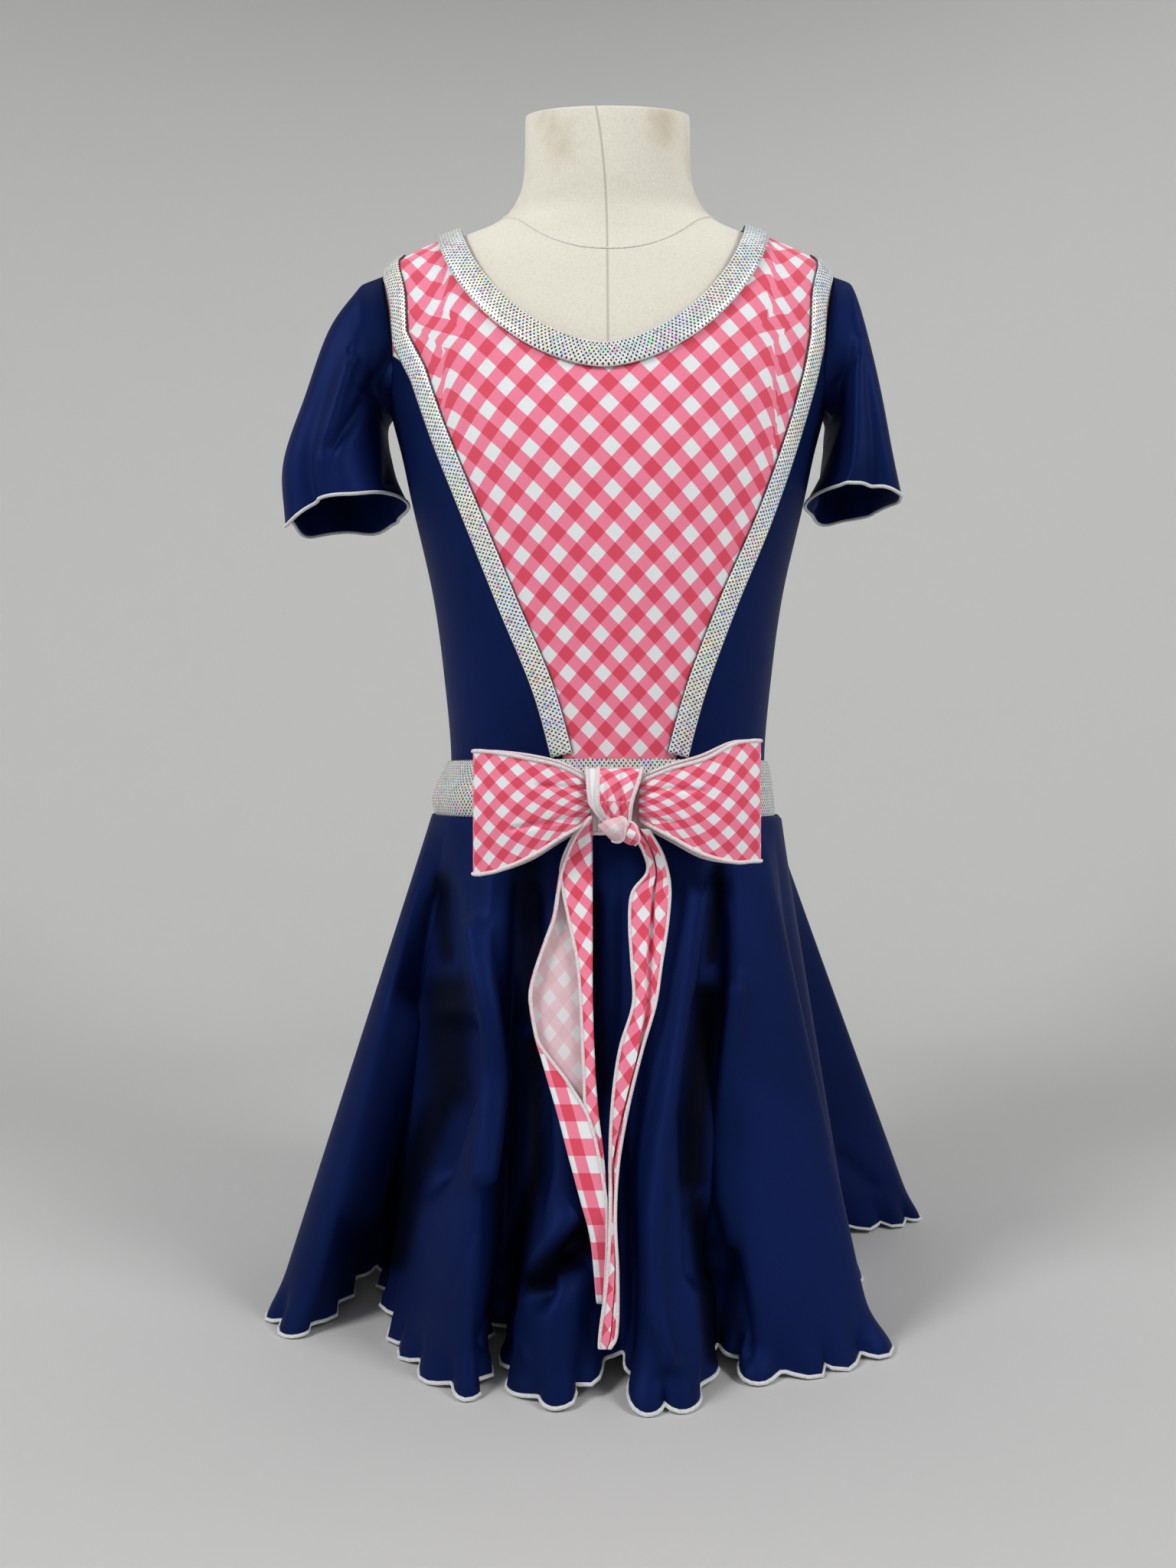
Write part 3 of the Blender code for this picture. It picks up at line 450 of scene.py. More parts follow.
# The armhole, seen from the side: its middle's height, half depth, half height, squareness and
# lean. The front seam turns into it at the corner, in degrees from its top
ARM_MIDDLE, ARM_DEPTH, ARM_HEIGHT, ARM_SQUARE, ARM_LEAN = 56.9, 3.4, 4.5, 2.2, 0.22
ARM_CORNER, ARM_REAR = 108.0, 262.0
# The turn before which the armhole's edge crosses the shoulder's ridge
CREST_REACH = 60.0
# The neckline, seen from the front: middle, half width, lowest heights in front and behind, height
# of its ends and squareness
NECK_MIDDLE, NECK_HALF, NECK_FRONT, NECK_BACK, NECK_TOP = -0.33, 8.45, 54.1, 60.2, 64.0
NECK_SQUARE = 1.75
NECK_TUCK, NECK_REACH = 0.15, 88.0
# The height above which the shoulder's ridge is looked for, the points of a fine path, and how
# often a point is moved towards the form
RIDGE_FOOT, FINE, SETTLE_MOVES = 59.5, 120, 12
PANEL_SEAM_ROWS, PANEL_RIM_ROWS, PANEL_STRAP, PANEL_NECK = 62, 30, 14, 58
# The check's repeat, across and up, at the waist and at the chest where the cloth is stretched, and
# where a row of white squares runs: (height, x)
CHECK_WAIST, CHECK_CHEST = (32.0, 1.85, 2.02), (51.0, 2.27, 2.42)
CHECK_LINE = ((32.1, -0.16), (51.9, -1.2))
CHECK_STEPS = 160
# Folds and creases are placed in a picture of this view, 1536 points wide and 2048 high, from its
# top left corner: its middle, and how many points make a percent of the distance from the camera
PICTURE_MIDDLE = (768.0, 1024.0)
PICTURE_PERCENT = CAMERA_LENS / CAMERA_SENSOR * 2 * PICTURE_MIDDLE[1] / 100
# How soon a fold fades as its cloth turns away from the camera
CREASE_FADE = 2
PANEL_CREASES = ((0.25, -0.06, (532, 425), (560, 431), (587, 432)),)
STRIPE_SHARPNESS = 7.0
WHITE, PINK, RED = (0.83, 0.86, 0.88), (0.91, 0.22, 0.34), (0.76, 0.055, 0.11)

RIDGE = np.argmax(PROFILE[:, 0] > RIDGE_FOOT)


def against_form(points):
    """How far outside the form points are, as |x/a|^n + |y/d|^n - 1, and its gradient."""
    x, y, z = np.moveaxis(points, -1, 0)
    half, front, back, square, _ = section(z)
    widen, front_slope, back_slope = section(z, SLOPES)[:3]
    depth = np.where(y < 0, front, back)
    deepen = np.where(y < 0, front_slope, back_slope)
    u, v = np.abs(x) / half, np.abs(y) / depth
    outside = u ** square + v ** square - 1
    gradient = np.stack([
        square * np.sign(x) * u ** (square - 1) / half,
        square * np.sign(y) * v ** (square - 1) / depth,
        -square * (u ** square * widen / half + v ** square * deepen / depth),
    ], axis=-1)
    return outside, gradient


def normal(points):
    """The form's outward direction at points on or near it."""
    gradient = against_form(points)[1]
    return gradient / np.linalg.norm(gradient, axis=-1, keepdims=True)


def settle(points, out=0.0):
    """Moves points onto the form along its gradient, then out along its normal, in cm."""
    points = np.array(points, float)
    for _ in range(SETTLE_MOVES):
        outside, gradient = against_form(points)
        move = (outside / (gradient ** 2).sum(axis=-1))[..., None] * gradient
        length = np.linalg.norm(move, axis=-1, keepdims=True)
        points -= move * np.minimum(1.0, 1.0 / np.maximum(length, 1e-9))
    return points + normal(points) * np.asarray(out)[..., None]


def facing(x, height, back=False):
    """The front (or back) point that is seen at x and a height, or the ridge where x is past it."""
    ridge = np.interp(-np.abs(x), -PROFILE[RIDGE:, 1], PROFILE[RIDGE:, 0])
    height = np.minimum(height, ridge)
    half, front, deep, square, _ = section(height)
    depth = np.maximum(1 - np.minimum(np.abs(x) / half, 1.0) ** square, 0.0) ** (1 / square)
    y = deep * depth if back else -front * depth
    return stacked(x, y, height)


def armhole(turn, side, grow=0.0):
    """The armhole's edge, seen from the side: turn 0 is its top, 90 its front, 180 the underarm."""
    turn = np.radians(turn)
    sine, cosine = np.sin(turn), np.cos(turn)
    power = 2 / ARM_SQUARE
    up = (ARM_HEIGHT + grow) * np.sign(cosine) * np.abs(cosine) ** power
    y = up * ARM_LEAN - (ARM_DEPTH + grow) * np.sign(sine) * np.abs(sine) ** power
    height = np.minimum(ARM_MIDDLE + up, ARM_MIDDLE + ARM_HEIGHT)
    half, front, back, square, _ = section(height)
    depth = np.where(y < 0, front, back)
    x = side * half * np.maximum(1 - (np.abs(y) / depth) ** square, 0.0) ** (1 / square)
    return np.stack([x, y, height], axis=-1)


def armhole_crest(grow=0.0):
    """The turn at which the armhole's edge crosses the shoulder's ridge, where y is 0."""
    turns = np.linspace(0, CREST_REACH, FINE)
    return np.interp(0.0, -armhole(turns, 1, grow)[:, 1], turns)


def neckline(turn, grow=0.0, back=False):
    """The neckline from the lowest point (0) to the viewer's right (90) or left (-90) shoulder."""
    turn = np.radians(turn)
    power = 2 / NECK_SQUARE
    lowest = (NECK_BACK if back else NECK_FRONT) - grow
    x = NECK_MIDDLE + (NECK_HALF + grow) * np.sign(turn) * np.abs(np.sin(turn)) ** power
    return facing(x, NECK_TOP - (NECK_TOP - lowest) * np.cos(turn) ** power, back)


def distances(path):
    """How far along a path its points are, from 0 at the first."""
    return np.concatenate([[0], np.cumsum(np.linalg.norm(np.diff(path, axis=0), axis=1))])


def measured(path, count):
    """Spreads points evenly along a path on the form."""
    length = distances(path)
    at = np.linspace(0, length[-1], count)
    return settle(np.stack([np.interp(at, length, column) for column in path.T], axis=-1))


def sideways(path, distance, closed=False):
    """Moves a path over the form to its own left, in cm."""
    left = np.cross(normal(path), run_of(path, closed))
    left /= np.linalg.norm(left, axis=1, keepdims=True)
    return settle(path + left * distance)


def fill(bottom, top, left, right, fade=1):
    """A grid of points on the form between four edges.

    Each column runs straight from the bottom to the top edge. The side edges' own curves are added
    to it, fading across the grid with the given power, and the points then settle on the form.
    """
    across = np.linspace(0, 1, len(bottom))[None, :, None]
    up = np.linspace(0, 1, len(left))[:, None, None]
    straight = bottom[None] * (1 - up) + top[None] * up
    left_curve = left[:, None] - (left[0] * (1 - up) + left[-1] * up)
    right_curve = right[:, None] - (right[0] * (1 - up) + right[-1] * up)
    grid = straight + left_curve * (1 - across) ** fade + right_curve * across ** fade
    return settle(grid)


def seam_line(side, foot=BODICE_FOOT, rows=PANEL_SEAM_ROWS):
    """The front seam under a silver band, from its foot up to where it nears the armhole."""
    table = smooth(BAND_LINE, FINE)
    table = table[(table[:, 0] >= foot) & (table[:, 0] <= SEAM_TURN)]
    return measured(facing(table[:, 1 if side < 0 else 2], table[:, 0]), rows)


def shoulder(begin, end, count):
    """Points along the shoulder's ridge between two distances from the middle."""
    return facing(np.linspace(begin, end, count), np.full(count, FORM[-1][0]))


def top_edge(strap, middle, back=False):
    """Shoulder, neckline and shoulder again, from the front panel's left or the back's right."""
    dip = neckline(np.linspace(-NECK_REACH, NECK_REACH, FINE), NECK_TUCK, back)
    tip = armhole(armhole_crest(ARM_GAP), 1, ARM_GAP)[0]
    left, right = (
        shoulder(side * tip, dip[end, 0], strap) for side, end in ((-1, 0), (1, -1)))
    edge = np.concatenate([left, measured(dip, middle)[1:-1], right[::-1]])
    return edge[::-1] if back else edge


def front_panel():
    """The V between its two seams, the neckline and the shoulders."""
    edges = []
    for side in (-1, 1):
        rim = armhole(np.linspace(ARM_CORNER, armhole_crest(ARM_GAP), FINE), side, ARM_GAP)
        seam = sideways(seam_line(side), side * SEAM_GAP / 2)
        edges.append(np.concatenate([seam, measured(rim, PANEL_RIM_ROWS)]))
    top = top_edge(PANEL_STRAP, PANEL_NECK)
    across = np.linspace(edges[0][0, 0], edges[1][0, 0], len(top))
    bottom = facing(across, np.full(len(top), BODICE_FOOT))
    return fill(bottom, top, edges[0], edges[1])


def seen(points):
    """Where the camera sees points in cm: across and up, in percent of their distance from it."""
    x, y, z = np.moveaxis(points, -1, 0)
    away = (y - 100 * CAMERA_PLACE[1]) / 100
    return stacked((x - 100 * CAMERA_PLACE[0]) / away, (z - 100 * CAMERA_PLACE[2]) / away)


def check_marks(grid):
    """Where the check falls: the cloth's own distances, in repeats.

    Up is the sum of the steps along the front at one x, each over the repeat at its height. Across
    is the length along the level section from the row of white squares, over the repeat there.
    """
    x, height = grid[..., 0], grid[..., 2]
    share = np.linspace(0, 1, CHECK_STEPS + 1)
    low, _, _ = CHECK_WAIST
    heights = low + (height[..., None] - low) * share
    line = facing(np.repeat(x[..., None], len(share), axis=-1), heights)
    rise = np.linalg.norm(np.diff(line, axis=-2), axis=-1) * np.sign(height - low)[..., None]
    middle = (heights[..., 1:] + heights[..., :-1]) / 2
    ends = (CHECK_WAIST[0], CHECK_CHEST[0])
    up = (rise / np.interp(middle, ends, (CHECK_WAIST[2], CHECK_CHEST[2]))).sum(axis=-1)
    begin = np.interp(height, ends, [x for _, x in CHECK_LINE])
    level = begin[..., None] + (x - begin)[..., None] * share
    line = facing(level, np.repeat(height[..., None], len(share), axis=-1))
    run = np.linalg.norm(np.diff(line, axis=-2), axis=-1).sum(axis=-1) * np.sign(x - begin)
    return np.stack([run / np.interp(height, ends, (CHECK_WAIST[1], CHECK_CHEST[1])), up], axis=-1)


def off_line(place, line):
    """How far places, as `seen` gives them, are from a line through points of the picture."""
    line = (np.array(line) - PICTURE_MIDDLE) * (1, -1) / PICTURE_PERCENT
    off = np.full(place.shape[:-1], np.inf)
    for begin, end in zip(line[:-1], line[1:]):
        run = end - begin
        share = ((place - begin) @ run / (run @ run)).clip(0, 1)
        off = np.minimum(off, np.linalg.norm(place - begin - run * share[..., None], axis=-1))
    return off


def bent(grid, creases, around=False, behind=1.0):
    """Pushes a grid of points in cm out along folds, or in along creases.

    A fold is its half width, in percent of the distance from the camera, and its height, then the
    points of its line in the picture. Its rise is a bell of the distance from the line, which fades
    where the cloth turns away from the camera. The hidden back has the same folds, turned half
    round, at a share of their height.
    """
    out = np.cross(run_of(grid, around, axis=1), np.gradient(grid, axis=0))
    out /= np.maximum(np.linalg.norm(out, axis=-1, keepdims=True), 1e-9)
    rise = np.zeros(grid.shape[:2])
    for turned, height_share in (((1, 1, 1), 1.0), ((-1, -1, 1), behind)):
        ray = grid * turned - 100 * np.array(CAMERA_PLACE)
        faced = (out * turned * ray).sum(axis=-1) / np.linalg.norm(ray, axis=-1)
        place = seen(grid * turned)
        for width, height, *line in creases:
            bell = np.exp(-(off_line(place, line) / width) ** 2)
            rise += height_share * height * bell * (-CREASE_FADE * faced).clip(0, 1)
    return grid + out * rise[..., None]


def gingham(name, ribs, wrong=False):
    """Printed check: two sets of stripes cross at the diagonals of the pattern's repeat.

    A stripe covers half of its repeat. No stripe is white, one is pink, and two are red. The wrong
    side of the cloth shows the print faintly.
    """
    finish, value = start(name)
    u, v = value.marks()
    falling = 0.5 - (u + v).wave() * STRIPE_SHARPNESS
    rising = 0.5 - (v - u).wave() * STRIPE_SHARPNESS
    stripes = falling.step(0.0, 1.0) + rising.step(0.0, 1.0)
    colour = stripes.step(0.0, 1.0).mix(tint(*WHITE), tint(*PINK))
    colour = stripes.step(1.0, 2.0).mix(colour, tint(*RED))
    if wrong:
        colour = value.node("Mix", {"data_type": 'RGBA'},
                            {0: 0.72, 6: colour, 7: tint(0.72, 0.66, 0.69)}, output=2)
    rib = (u * ribs).wave() * (v * ribs).wave()
    dress_up(value, Base_Color=colour, Roughness=0.72, Sheen_Weight=0.2,
             Normal=value.bump(0.25, 0.0002, rib))
    return finish


def sewn(piece, node):
    """Gives a piece its cloth's thickness, inwards, and hides its node's CAD part."""
    thick = piece.modifiers.new("cloth", 'SOLIDIFY')
    thick.thickness = CLOTH * CM
    thick.offset = -1.0
    thick.material_offset = len(piece.data.materials) - 1
    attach(piece, "root")
    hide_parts(node)


panel_grid = bent(settle(front_panel(), PANEL_FACE), PANEL_CREASES)
panel = skin("front_panel_gingham", panel_grid, [gingham("gingham on the bodice", 32.0)],
             check_marks(panel_grid))
sewn(panel, "front_panel")


# The navy side fronts and the back. Plain stretch jersey with a slight satin sheen, sewn to the
# gingham front, at the sides under the arms and along the shoulders.
SIDE_ROWS, SIDE_COLUMNS = 62, 26
CORNER_GAP, UNDERARM_GAP = 4.0, 1.0
BACK_RIM, BACK_STRAP, BACK_NECK, BACK_SHOULDER = 24, 12, 50, 26
SHOULDER_FADE = 3
# Points of two grids that agree in cm to so many digits are one
MERGE_DIGITS = 3
BAND_REACH = 89.0


def navy(name="navy stretch jersey", painted_shade=False):
    """Navy jersey: the satin sheen of smooth thread, a fine fuzz and a slightly uneven dye.

    On the skirt, painted shade from the first pattern mark darkens it towards black in the hollows.
    """
    finish, value = start(name)
    place = value.place()
    fuzz = value.noise(place, 1400.0, 1.0)
    cloud = value.noise(place, 9.0, 3.0)
    colour = cloud.step(0.3, 0.75).mix(tint(0.0034, 0.0106, 0.065), tint(0.0050, 0.0152, 0.092))
    if painted_shade:
        # Painted shade: the first pattern mark darkens the dye towards black in the skirt's hollows
        depth, _ = value.marks()
        colour = depth.mix(colour, tint(0.0003, 0.0006, 0.003))
    dress_up(value, Base_Color=colour, Metallic=0.5, Roughness=0.6, Specular_IOR_Level=0.07,
             Normal=value.bump(0.3, 0.0002, fuzz))
    return finish


def side_seam(side, shift, rows=SIDE_ROWS):
    """The side seam, from the waist up to the underarm: y = y_underarm t^2, t the share of it."""
    underarm = armhole(180.0, side, ARM_GAP)
    up = np.linspace(0, 1, rows)
    height = BODICE_FOOT + (underarm[2] - BODICE_FOOT) * up
    depth = underarm[1] * up ** 2 + shift
    return settle(np.stack([side * section(height)[0], depth, height], axis=-1))


def side_front(side):
    """A side front, between the front seam, the armhole and the side seam."""
    turns = np.linspace(ARM_CORNER + CORNER_GAP, 180.0 - UNDERARM_GAP, FINE)
    rim = measured(armhole(turns, side, ARM_GAP), SIDE_COLUMNS)
    line = sideways(seam_line(side, rows=SIDE_ROWS - 1), -side * SEAM_GAP / 2)
    seam = np.concatenate([line, rim[:1]])
    edge = side_seam(side, -SEAM_GAP / 2)
    edge[-1] = rim[-1]
    foot = ring(np.full(FINE, BODICE_FOOT), np.linspace(0, side * BAND_REACH, FINE))
    foot = foot[side * foot[:, 0] > side * seam[0, 0]]
    bottom = measured(np.concatenate([seam[:1], foot, edge[:1]]), SIDE_COLUMNS)
    grid = fill(bottom, rim, seam, edge)
    return grid[:, ::-1] if side < 0 else grid


def back_panels():
    """The back up to the armholes' rear points, then the shoulders and the neckline."""
    mirror = np.array([-1.0, 1.0, 1.0])
    turns = np.linspace(180.0 + UNDERARM_GAP, ARM_REAR, FINE)
    low_rim = measured(armhole(turns, 1, ARM_GAP), BACK_RIM)
    turns = np.linspace(ARM_REAR, 360 + armhole_crest(ARM_GAP), FINE)
    high_rim = measured(armhole(turns, 1, ARM_GAP), BACK_SHOULDER)
    crown = top_edge(BACK_STRAP, BACK_NECK, back=True)
    shift = np.array([0.0, SEAM_GAP / 2, 0.0])
    high_rim[-1] = settle(high_rim[-1] + shift)
    crown[:BACK_STRAP] = settle(crown[:BACK_STRAP] + shift)
    crown[-BACK_STRAP:] = settle(crown[-BACK_STRAP:] + shift)
    crown[0], crown[-1] = high_rim[-1], high_rim[-1] * mirror
    across = np.linspace(high_rim[0, 0], -high_rim[0, 0], FINE)
    line = measured(facing(across, np.full(FINE, high_rim[0, 2]), back=True), len(crown))
    line[0], line[-1] = high_rim[0], high_rim[0] * mirror
    top = np.concatenate([low_rim[:-1], line, (low_rim[:-1] * mirror)[::-1]])
    right = side_seam(1, SEAM_GAP / 2)
    right[-1] = low_rim[0]
    bottom = settle(ring(np.full(len(top), BODICE_FOOT), np.linspace(90, 270, len(top))))
    bottom[0], bottom[-1] = right[0], right[0] * mirror
    body = fill(bottom, top, right, right * mirror)
    shoulders = fill(line, crown, high_rim, high_rim * mirror, SHOULDER_FADE)
    return body, shoulders


def joined(name, grids, finish):
    """One mesh through grids that share an edge, whose points there are merged."""
    points, faces, first = [], [], 0
    for grid in grids:
        rows, columns = grid.shape[:2]
        points.append(grid.reshape(-1, 3))
        faces.append(first + np.stack([r * columns + c for r, c in quads(rows, columns, False)],
                                      axis=-1))
        first += rows * columns
    points = np.concatenate(points)
    _, kept, turned = np.unique(np.round(points, MERGE_DIGITS), axis=0, return_index=True,
                                return_inverse=True)
    return put(name, points[kept] * CM, turned.reshape(-1)[np.concatenate(faces)], finish)


jersey = navy()
for side, letter in ((-1, "L"), (1, "R")):
    piece = skin("side_front_jersey_" + letter, settle(side_front(side), PANEL_FACE), [jersey])
    sewn(piece, "side_front_" + letter)
back_pieces = [settle(grid, PANEL_FACE) for grid in back_panels()]
back = joined("back_panel_jersey", back_pieces, [jersey])
sewn(back, "back_panel")


# The silver bands. Stretch cloth with a foil dot print whose coloured glints are painted
# highlights,
# folded into flat bands: one round the neckline, and one down each front seam from the shoulder to
# the waist.
BAND_FACE = PANEL_FACE + LAYER_GAP + WALL
BAND_WIDTH, BAND_FOOT, BAND_TURN, BAND_END = 1.24, 31.55, 8.0, 3.0
NECK_BAND_WIDTH = 1.4
BAND_ROWS, NECK_BAND_COLUMNS = 180, 260
# Shares of the half width across a band, and how far its rounded edges lie under its face
BAND_SECTION = ((-1.0, 0.1), (-0.93, 0.045), (-0.8, 0.012), (-0.4, 0.0), (0.0, 0.006),
                (0.4, 0.0), (0.8, 0.012), (0.93, 0.045), (1.0, 0.1))
# The radius of the dark lines along the bands' edges, which are painted shadow in the gaps there
BAND_SHADOW_LINE = 0.032
DOT_ACROSS, DOT_ROWS = 0.26, 0.17


def foil(name, warm, cool):
    """Foil dots: staggered rows of dark dots on silver, with painted glints of broken rainbow.

    A dot is where the product of two crossed waves is above a level, which staggers them. A painted
    glint, a bright highlight in the colour, takes its colour from the random colour of the small
    cell it lies in.
    """
    finish, value = start(name)
    u, v = value.marks()
    place = value.place()
    lattice = (u * (1 / DOT_ACROSS)).wave() * (v * (0.5 / DOT_ROWS)).wave()
    ragged = value.noise(place, 900.0, 1.0)
    dots = (lattice + (ragged - 0.5) * 1.1).step(0.3, 0.5)
    cell = value.node("TexVoronoi", {}, {"Vector": place, "Scale": 620.0}, output="Color")
    hue, lit, deep = cell.parts()
    glint = value.node("CombineColor", {"mode": 'HSV'}, {0: hue, 1: 0.6, 2: 1.0})
    patch = value.noise(place, 26.0, 2.0)
    shade = patch.step(0.35, 0.65).mix(tint(*warm), tint(*cool))
    shade = (deep.step(0.6, 1.0) * 0.5).mix(shade, tint(0.40, 0.43, 0.46))
    # Painted highlights: bright glints of rainbow mixed into the colour in a few cells
    colour = (lit.step(0.7, 0.95) * 0.85).mix(shade, glint)
    colour = dots.mix(colour, tint(0.02, 0.02, 0.03))
    dress_up(value, Base_Color=colour, Metallic=0.15, Roughness=0.35,
             Normal=value.bump(0.5, 0.0003, lit - dots))
    return finish


def band_grid(path, half, closed=False):
    """A flat band along a path on the form: the section's points sideways and out from it."""
    strips = [settle(sideways(path, -share * half, closed), BAND_FACE - under)
              for share, under in BAND_SECTION]
    return np.stack(strips, axis=0)


def band_marks(grid, closed=False):
    """Distances along and across a band, in cm."""
    middle = grid[len(grid) // 2]
    if closed:
        middle = np.concatenate([middle, middle[:1]])
        grid = np.concatenate([grid, grid[:, :1]], axis=1)
    along = distances(middle)
    step = np.linalg.norm(np.diff(grid, axis=0), axis=-1)
    across = np.concatenate([np.zeros((1, grid.shape[1])), np.cumsum(step, axis=0)])
    return stacked(along[None], across)


silver = foil("silver dotted foil", (0.97, 0.94, 0.84), (0.84, 0.92, 0.98))
# Dark thread-like tubes along the bands' edges: painted shadow in the gaps at those edges
shadow_line_thread = thread("thread-like painted shadow lines of the bands", (0.05, 0.055, 0.07))
turns = np.linspace(-BAND_REACH, BAND_REACH, FINE)
neck_path = np.concatenate([neckline(turns, NECK_BAND_WIDTH / 2),
                            neckline(turns, NECK_BAND_WIDTH / 2, back=True)[::-1]])
neck_path = measured(np.concatenate([neck_path, neck_path[:1]]), NECK_BAND_COLUMNS + 1)[:-1]
neck_grid = band_grid(neck_path, NECK_BAND_WIDTH / 2, closed=True)
neck_band = skin("neck_band_foil", neck_grid, [silver], band_marks(neck_grid, True), around=True)
sewn(neck_band, "neck_band")
# Painted shadow: dark lines along both edges of the neck band
shadow_lines = edged("neck_band_shadow_line", neck_grid[[0, -1]], BAND_SHADOW_LINE, shadow_line_thread, sides=5)

for side, letter in ((-1, "L"), (1, "R")):
    turns = np.linspace(ARM_CORNER - BAND_TURN, armhole_crest() + BAND_END, FINE)
    rim = armhole(turns, side, BAND_WIDTH / 2 + SEAM_GAP)
    path = measured(np.concatenate([seam_line(side, BAND_FOOT, FINE), rim]), BAND_ROWS)
    grid = band_grid(path, BAND_WIDTH / 2)
    marks = band_marks(grid)
    trim = skin("trim_foil_" + letter, grid.transpose(1, 0, 2), [silver],
                marks.transpose(1, 0, 2))
    sewn(trim, "trim_" + letter)
    # Painted shadow: dark lines along both edges of each trim
    shadow_lines = edged("trim_stitch_" + letter, grid[[0, -1]], BAND_SHADOW_LINE, shadow_line_thread,
                     closed=False, sides=5)


# The belt. A wide band of the same silver foil cloth, loosely gathered between the bodice and the
# skirt, so that it bulges and slumps a little to the viewer's left.
BELT_FOOT, BELT_TOP = 27.0, 31.4
# Its height above its foot as a share, and how far it stands out from the form
BELT = ((0.0, 0.55), (0.22, 0.9), (0.45, 1.08), (0.72, 0.9), (1.0, 0.49))
BELT_SLUMP, BELT_GATHERS, BELT_GATHER = 0.3, 18, 0.05
BELT_ROWS, BELT_COLUMNS = 34, 400


def belt_out(share, angle):
    """How far the belt's face stands out: its profile, slumped lower on the viewer's left."""
    profile = smooth(BELT, FINE)
    bulge = np.sin(np.pi * share)
    slump = 1 - BELT_SLUMP * np.sin(np.radians(angle)) * bulge
    gather = BELT_GATHER * np.sin(np.radians(angle) * BELT_GATHERS) * bulge
    return np.interp(share, profile[:, 0], profile[:, 1]) * slump + gather


belt_angle = np.arange(BELT_COLUMNS) * 360 / BELT_COLUMNS
belt_share = np.linspace(0, 1, BELT_ROWS)[:, None]
belt_height = BELT_FOOT + (BELT_TOP - BELT_FOOT) * belt_share
belt_grid = settle(ring(belt_height, belt_angle[None]), belt_out(belt_share, belt_angle[None]))
# The belt's copy of the foil is darker than the bands': painted shade on the same cloth
shaded_belt_silver = foil("silver foil of the belt, darkened as painted shade", (0.70, 0.66, 0.64), (0.60, 0.70, 0.66))
belt = skin("belt_foil", belt_grid, [shaded_belt_silver], band_marks(belt_grid, True), around=True)
sewn(belt, "belt")


# The skirt. One circle of navy jersey sewn to the belt's foot, which falls in deep flutes. Its hem
# is a lettuce edge: white thread over a rolled, stretched edge that ripples.
# The flutes, from the front left round the front, the right and the back: the valley before the
# flute (x, y), its two shoulders at the hem (x, y each), the angle of that valley at the waist and
# the height of the valley's hem
FLUTES = (
    (-14.0, 2.4, -19.0, -5.3, -16.4, -8.8, -93.0, 0.6),
    (-13.9, -1.8, -11.2, -10.3, -7.1, -15.3, -60.0, 1.0),
    (-5.8, -10.1, -4.9, -14.3, -2.8, -16.3, -27.0, 0.9),
    (0.5, -13.2, 1.6, -16.4, 4.3, -15.6, 3.0, 1.3),
    (5.5, -11.6, 7.5, -13.8, 13.9, -10.8, 34.0, 0.9),
    (12.2, -5.6, 14.7, -2.6, 15.0, 1.6, 64.0, 0.6),
    (13.3, 4.8, 20.9, 7.8, 19.9, 11.5, 90.0, 0.5),
    (12.8, 9.2, 16.0, 14.4, 12.6, 17.0, 117.0, 0.8),
    (8.8, 11.9, 7.7, 18.4, 4.2, 18.9, 143.0, 0.6),
    (2.4, 13.2, 0.7, 18.6, -2.9, 18.8, 168.0, 1.0),
    (-4.4, 13.0, -7.0, 18.1, -10.3, 16.8, 193.0, 0.7),
    (-9.2, 11.2, -13.8, 13.6, -16.3, 10.7, 218.0, 0.9),
    (-12.6, 7.9, -17.6, 6.9, -18.2, 3.9, 243.0, 0.6),
)
SKIRT_TOP, SKIRT_SEAM, SKIRT_STAND = 27.75, 28.05, 0.42
HEM_LIFT, VALLEY_TIGHTNESS = 0.12, 0.55
STEPS_TO_SHOULDER, STEPS_ACROSS = 16, 16
SKIRT_ROWS, HEM_CROWD = 70, 1.25
HEM_ROLL = 0.105
# The hem's ripples: the step between crests along the hem, the share of a step that a crest strays
# and the turn of that from crest to crest, then their push outwards, lift and lean along the hem,
# the height they fade over and how near a valley they stop
RIPPLE_STEP, RIPPLE_STRAY, RIPPLE_TURN = 2.65, 0.22, 2.4
RIPPLE_OUT, RIPPLE_LIFT, RIPPLE_LEAN, RIPPLE_FADE, RIPPLE_VALLEY = 0.36, 0.2, 0.2, 1.3, 1.0
# Curls of the hem: place along it, half width, push outwards and spread of the head
CURLS = ((57.8, 0.8, 0.6, 0.9), (77.2, 0.8, 0.55, 0.9))
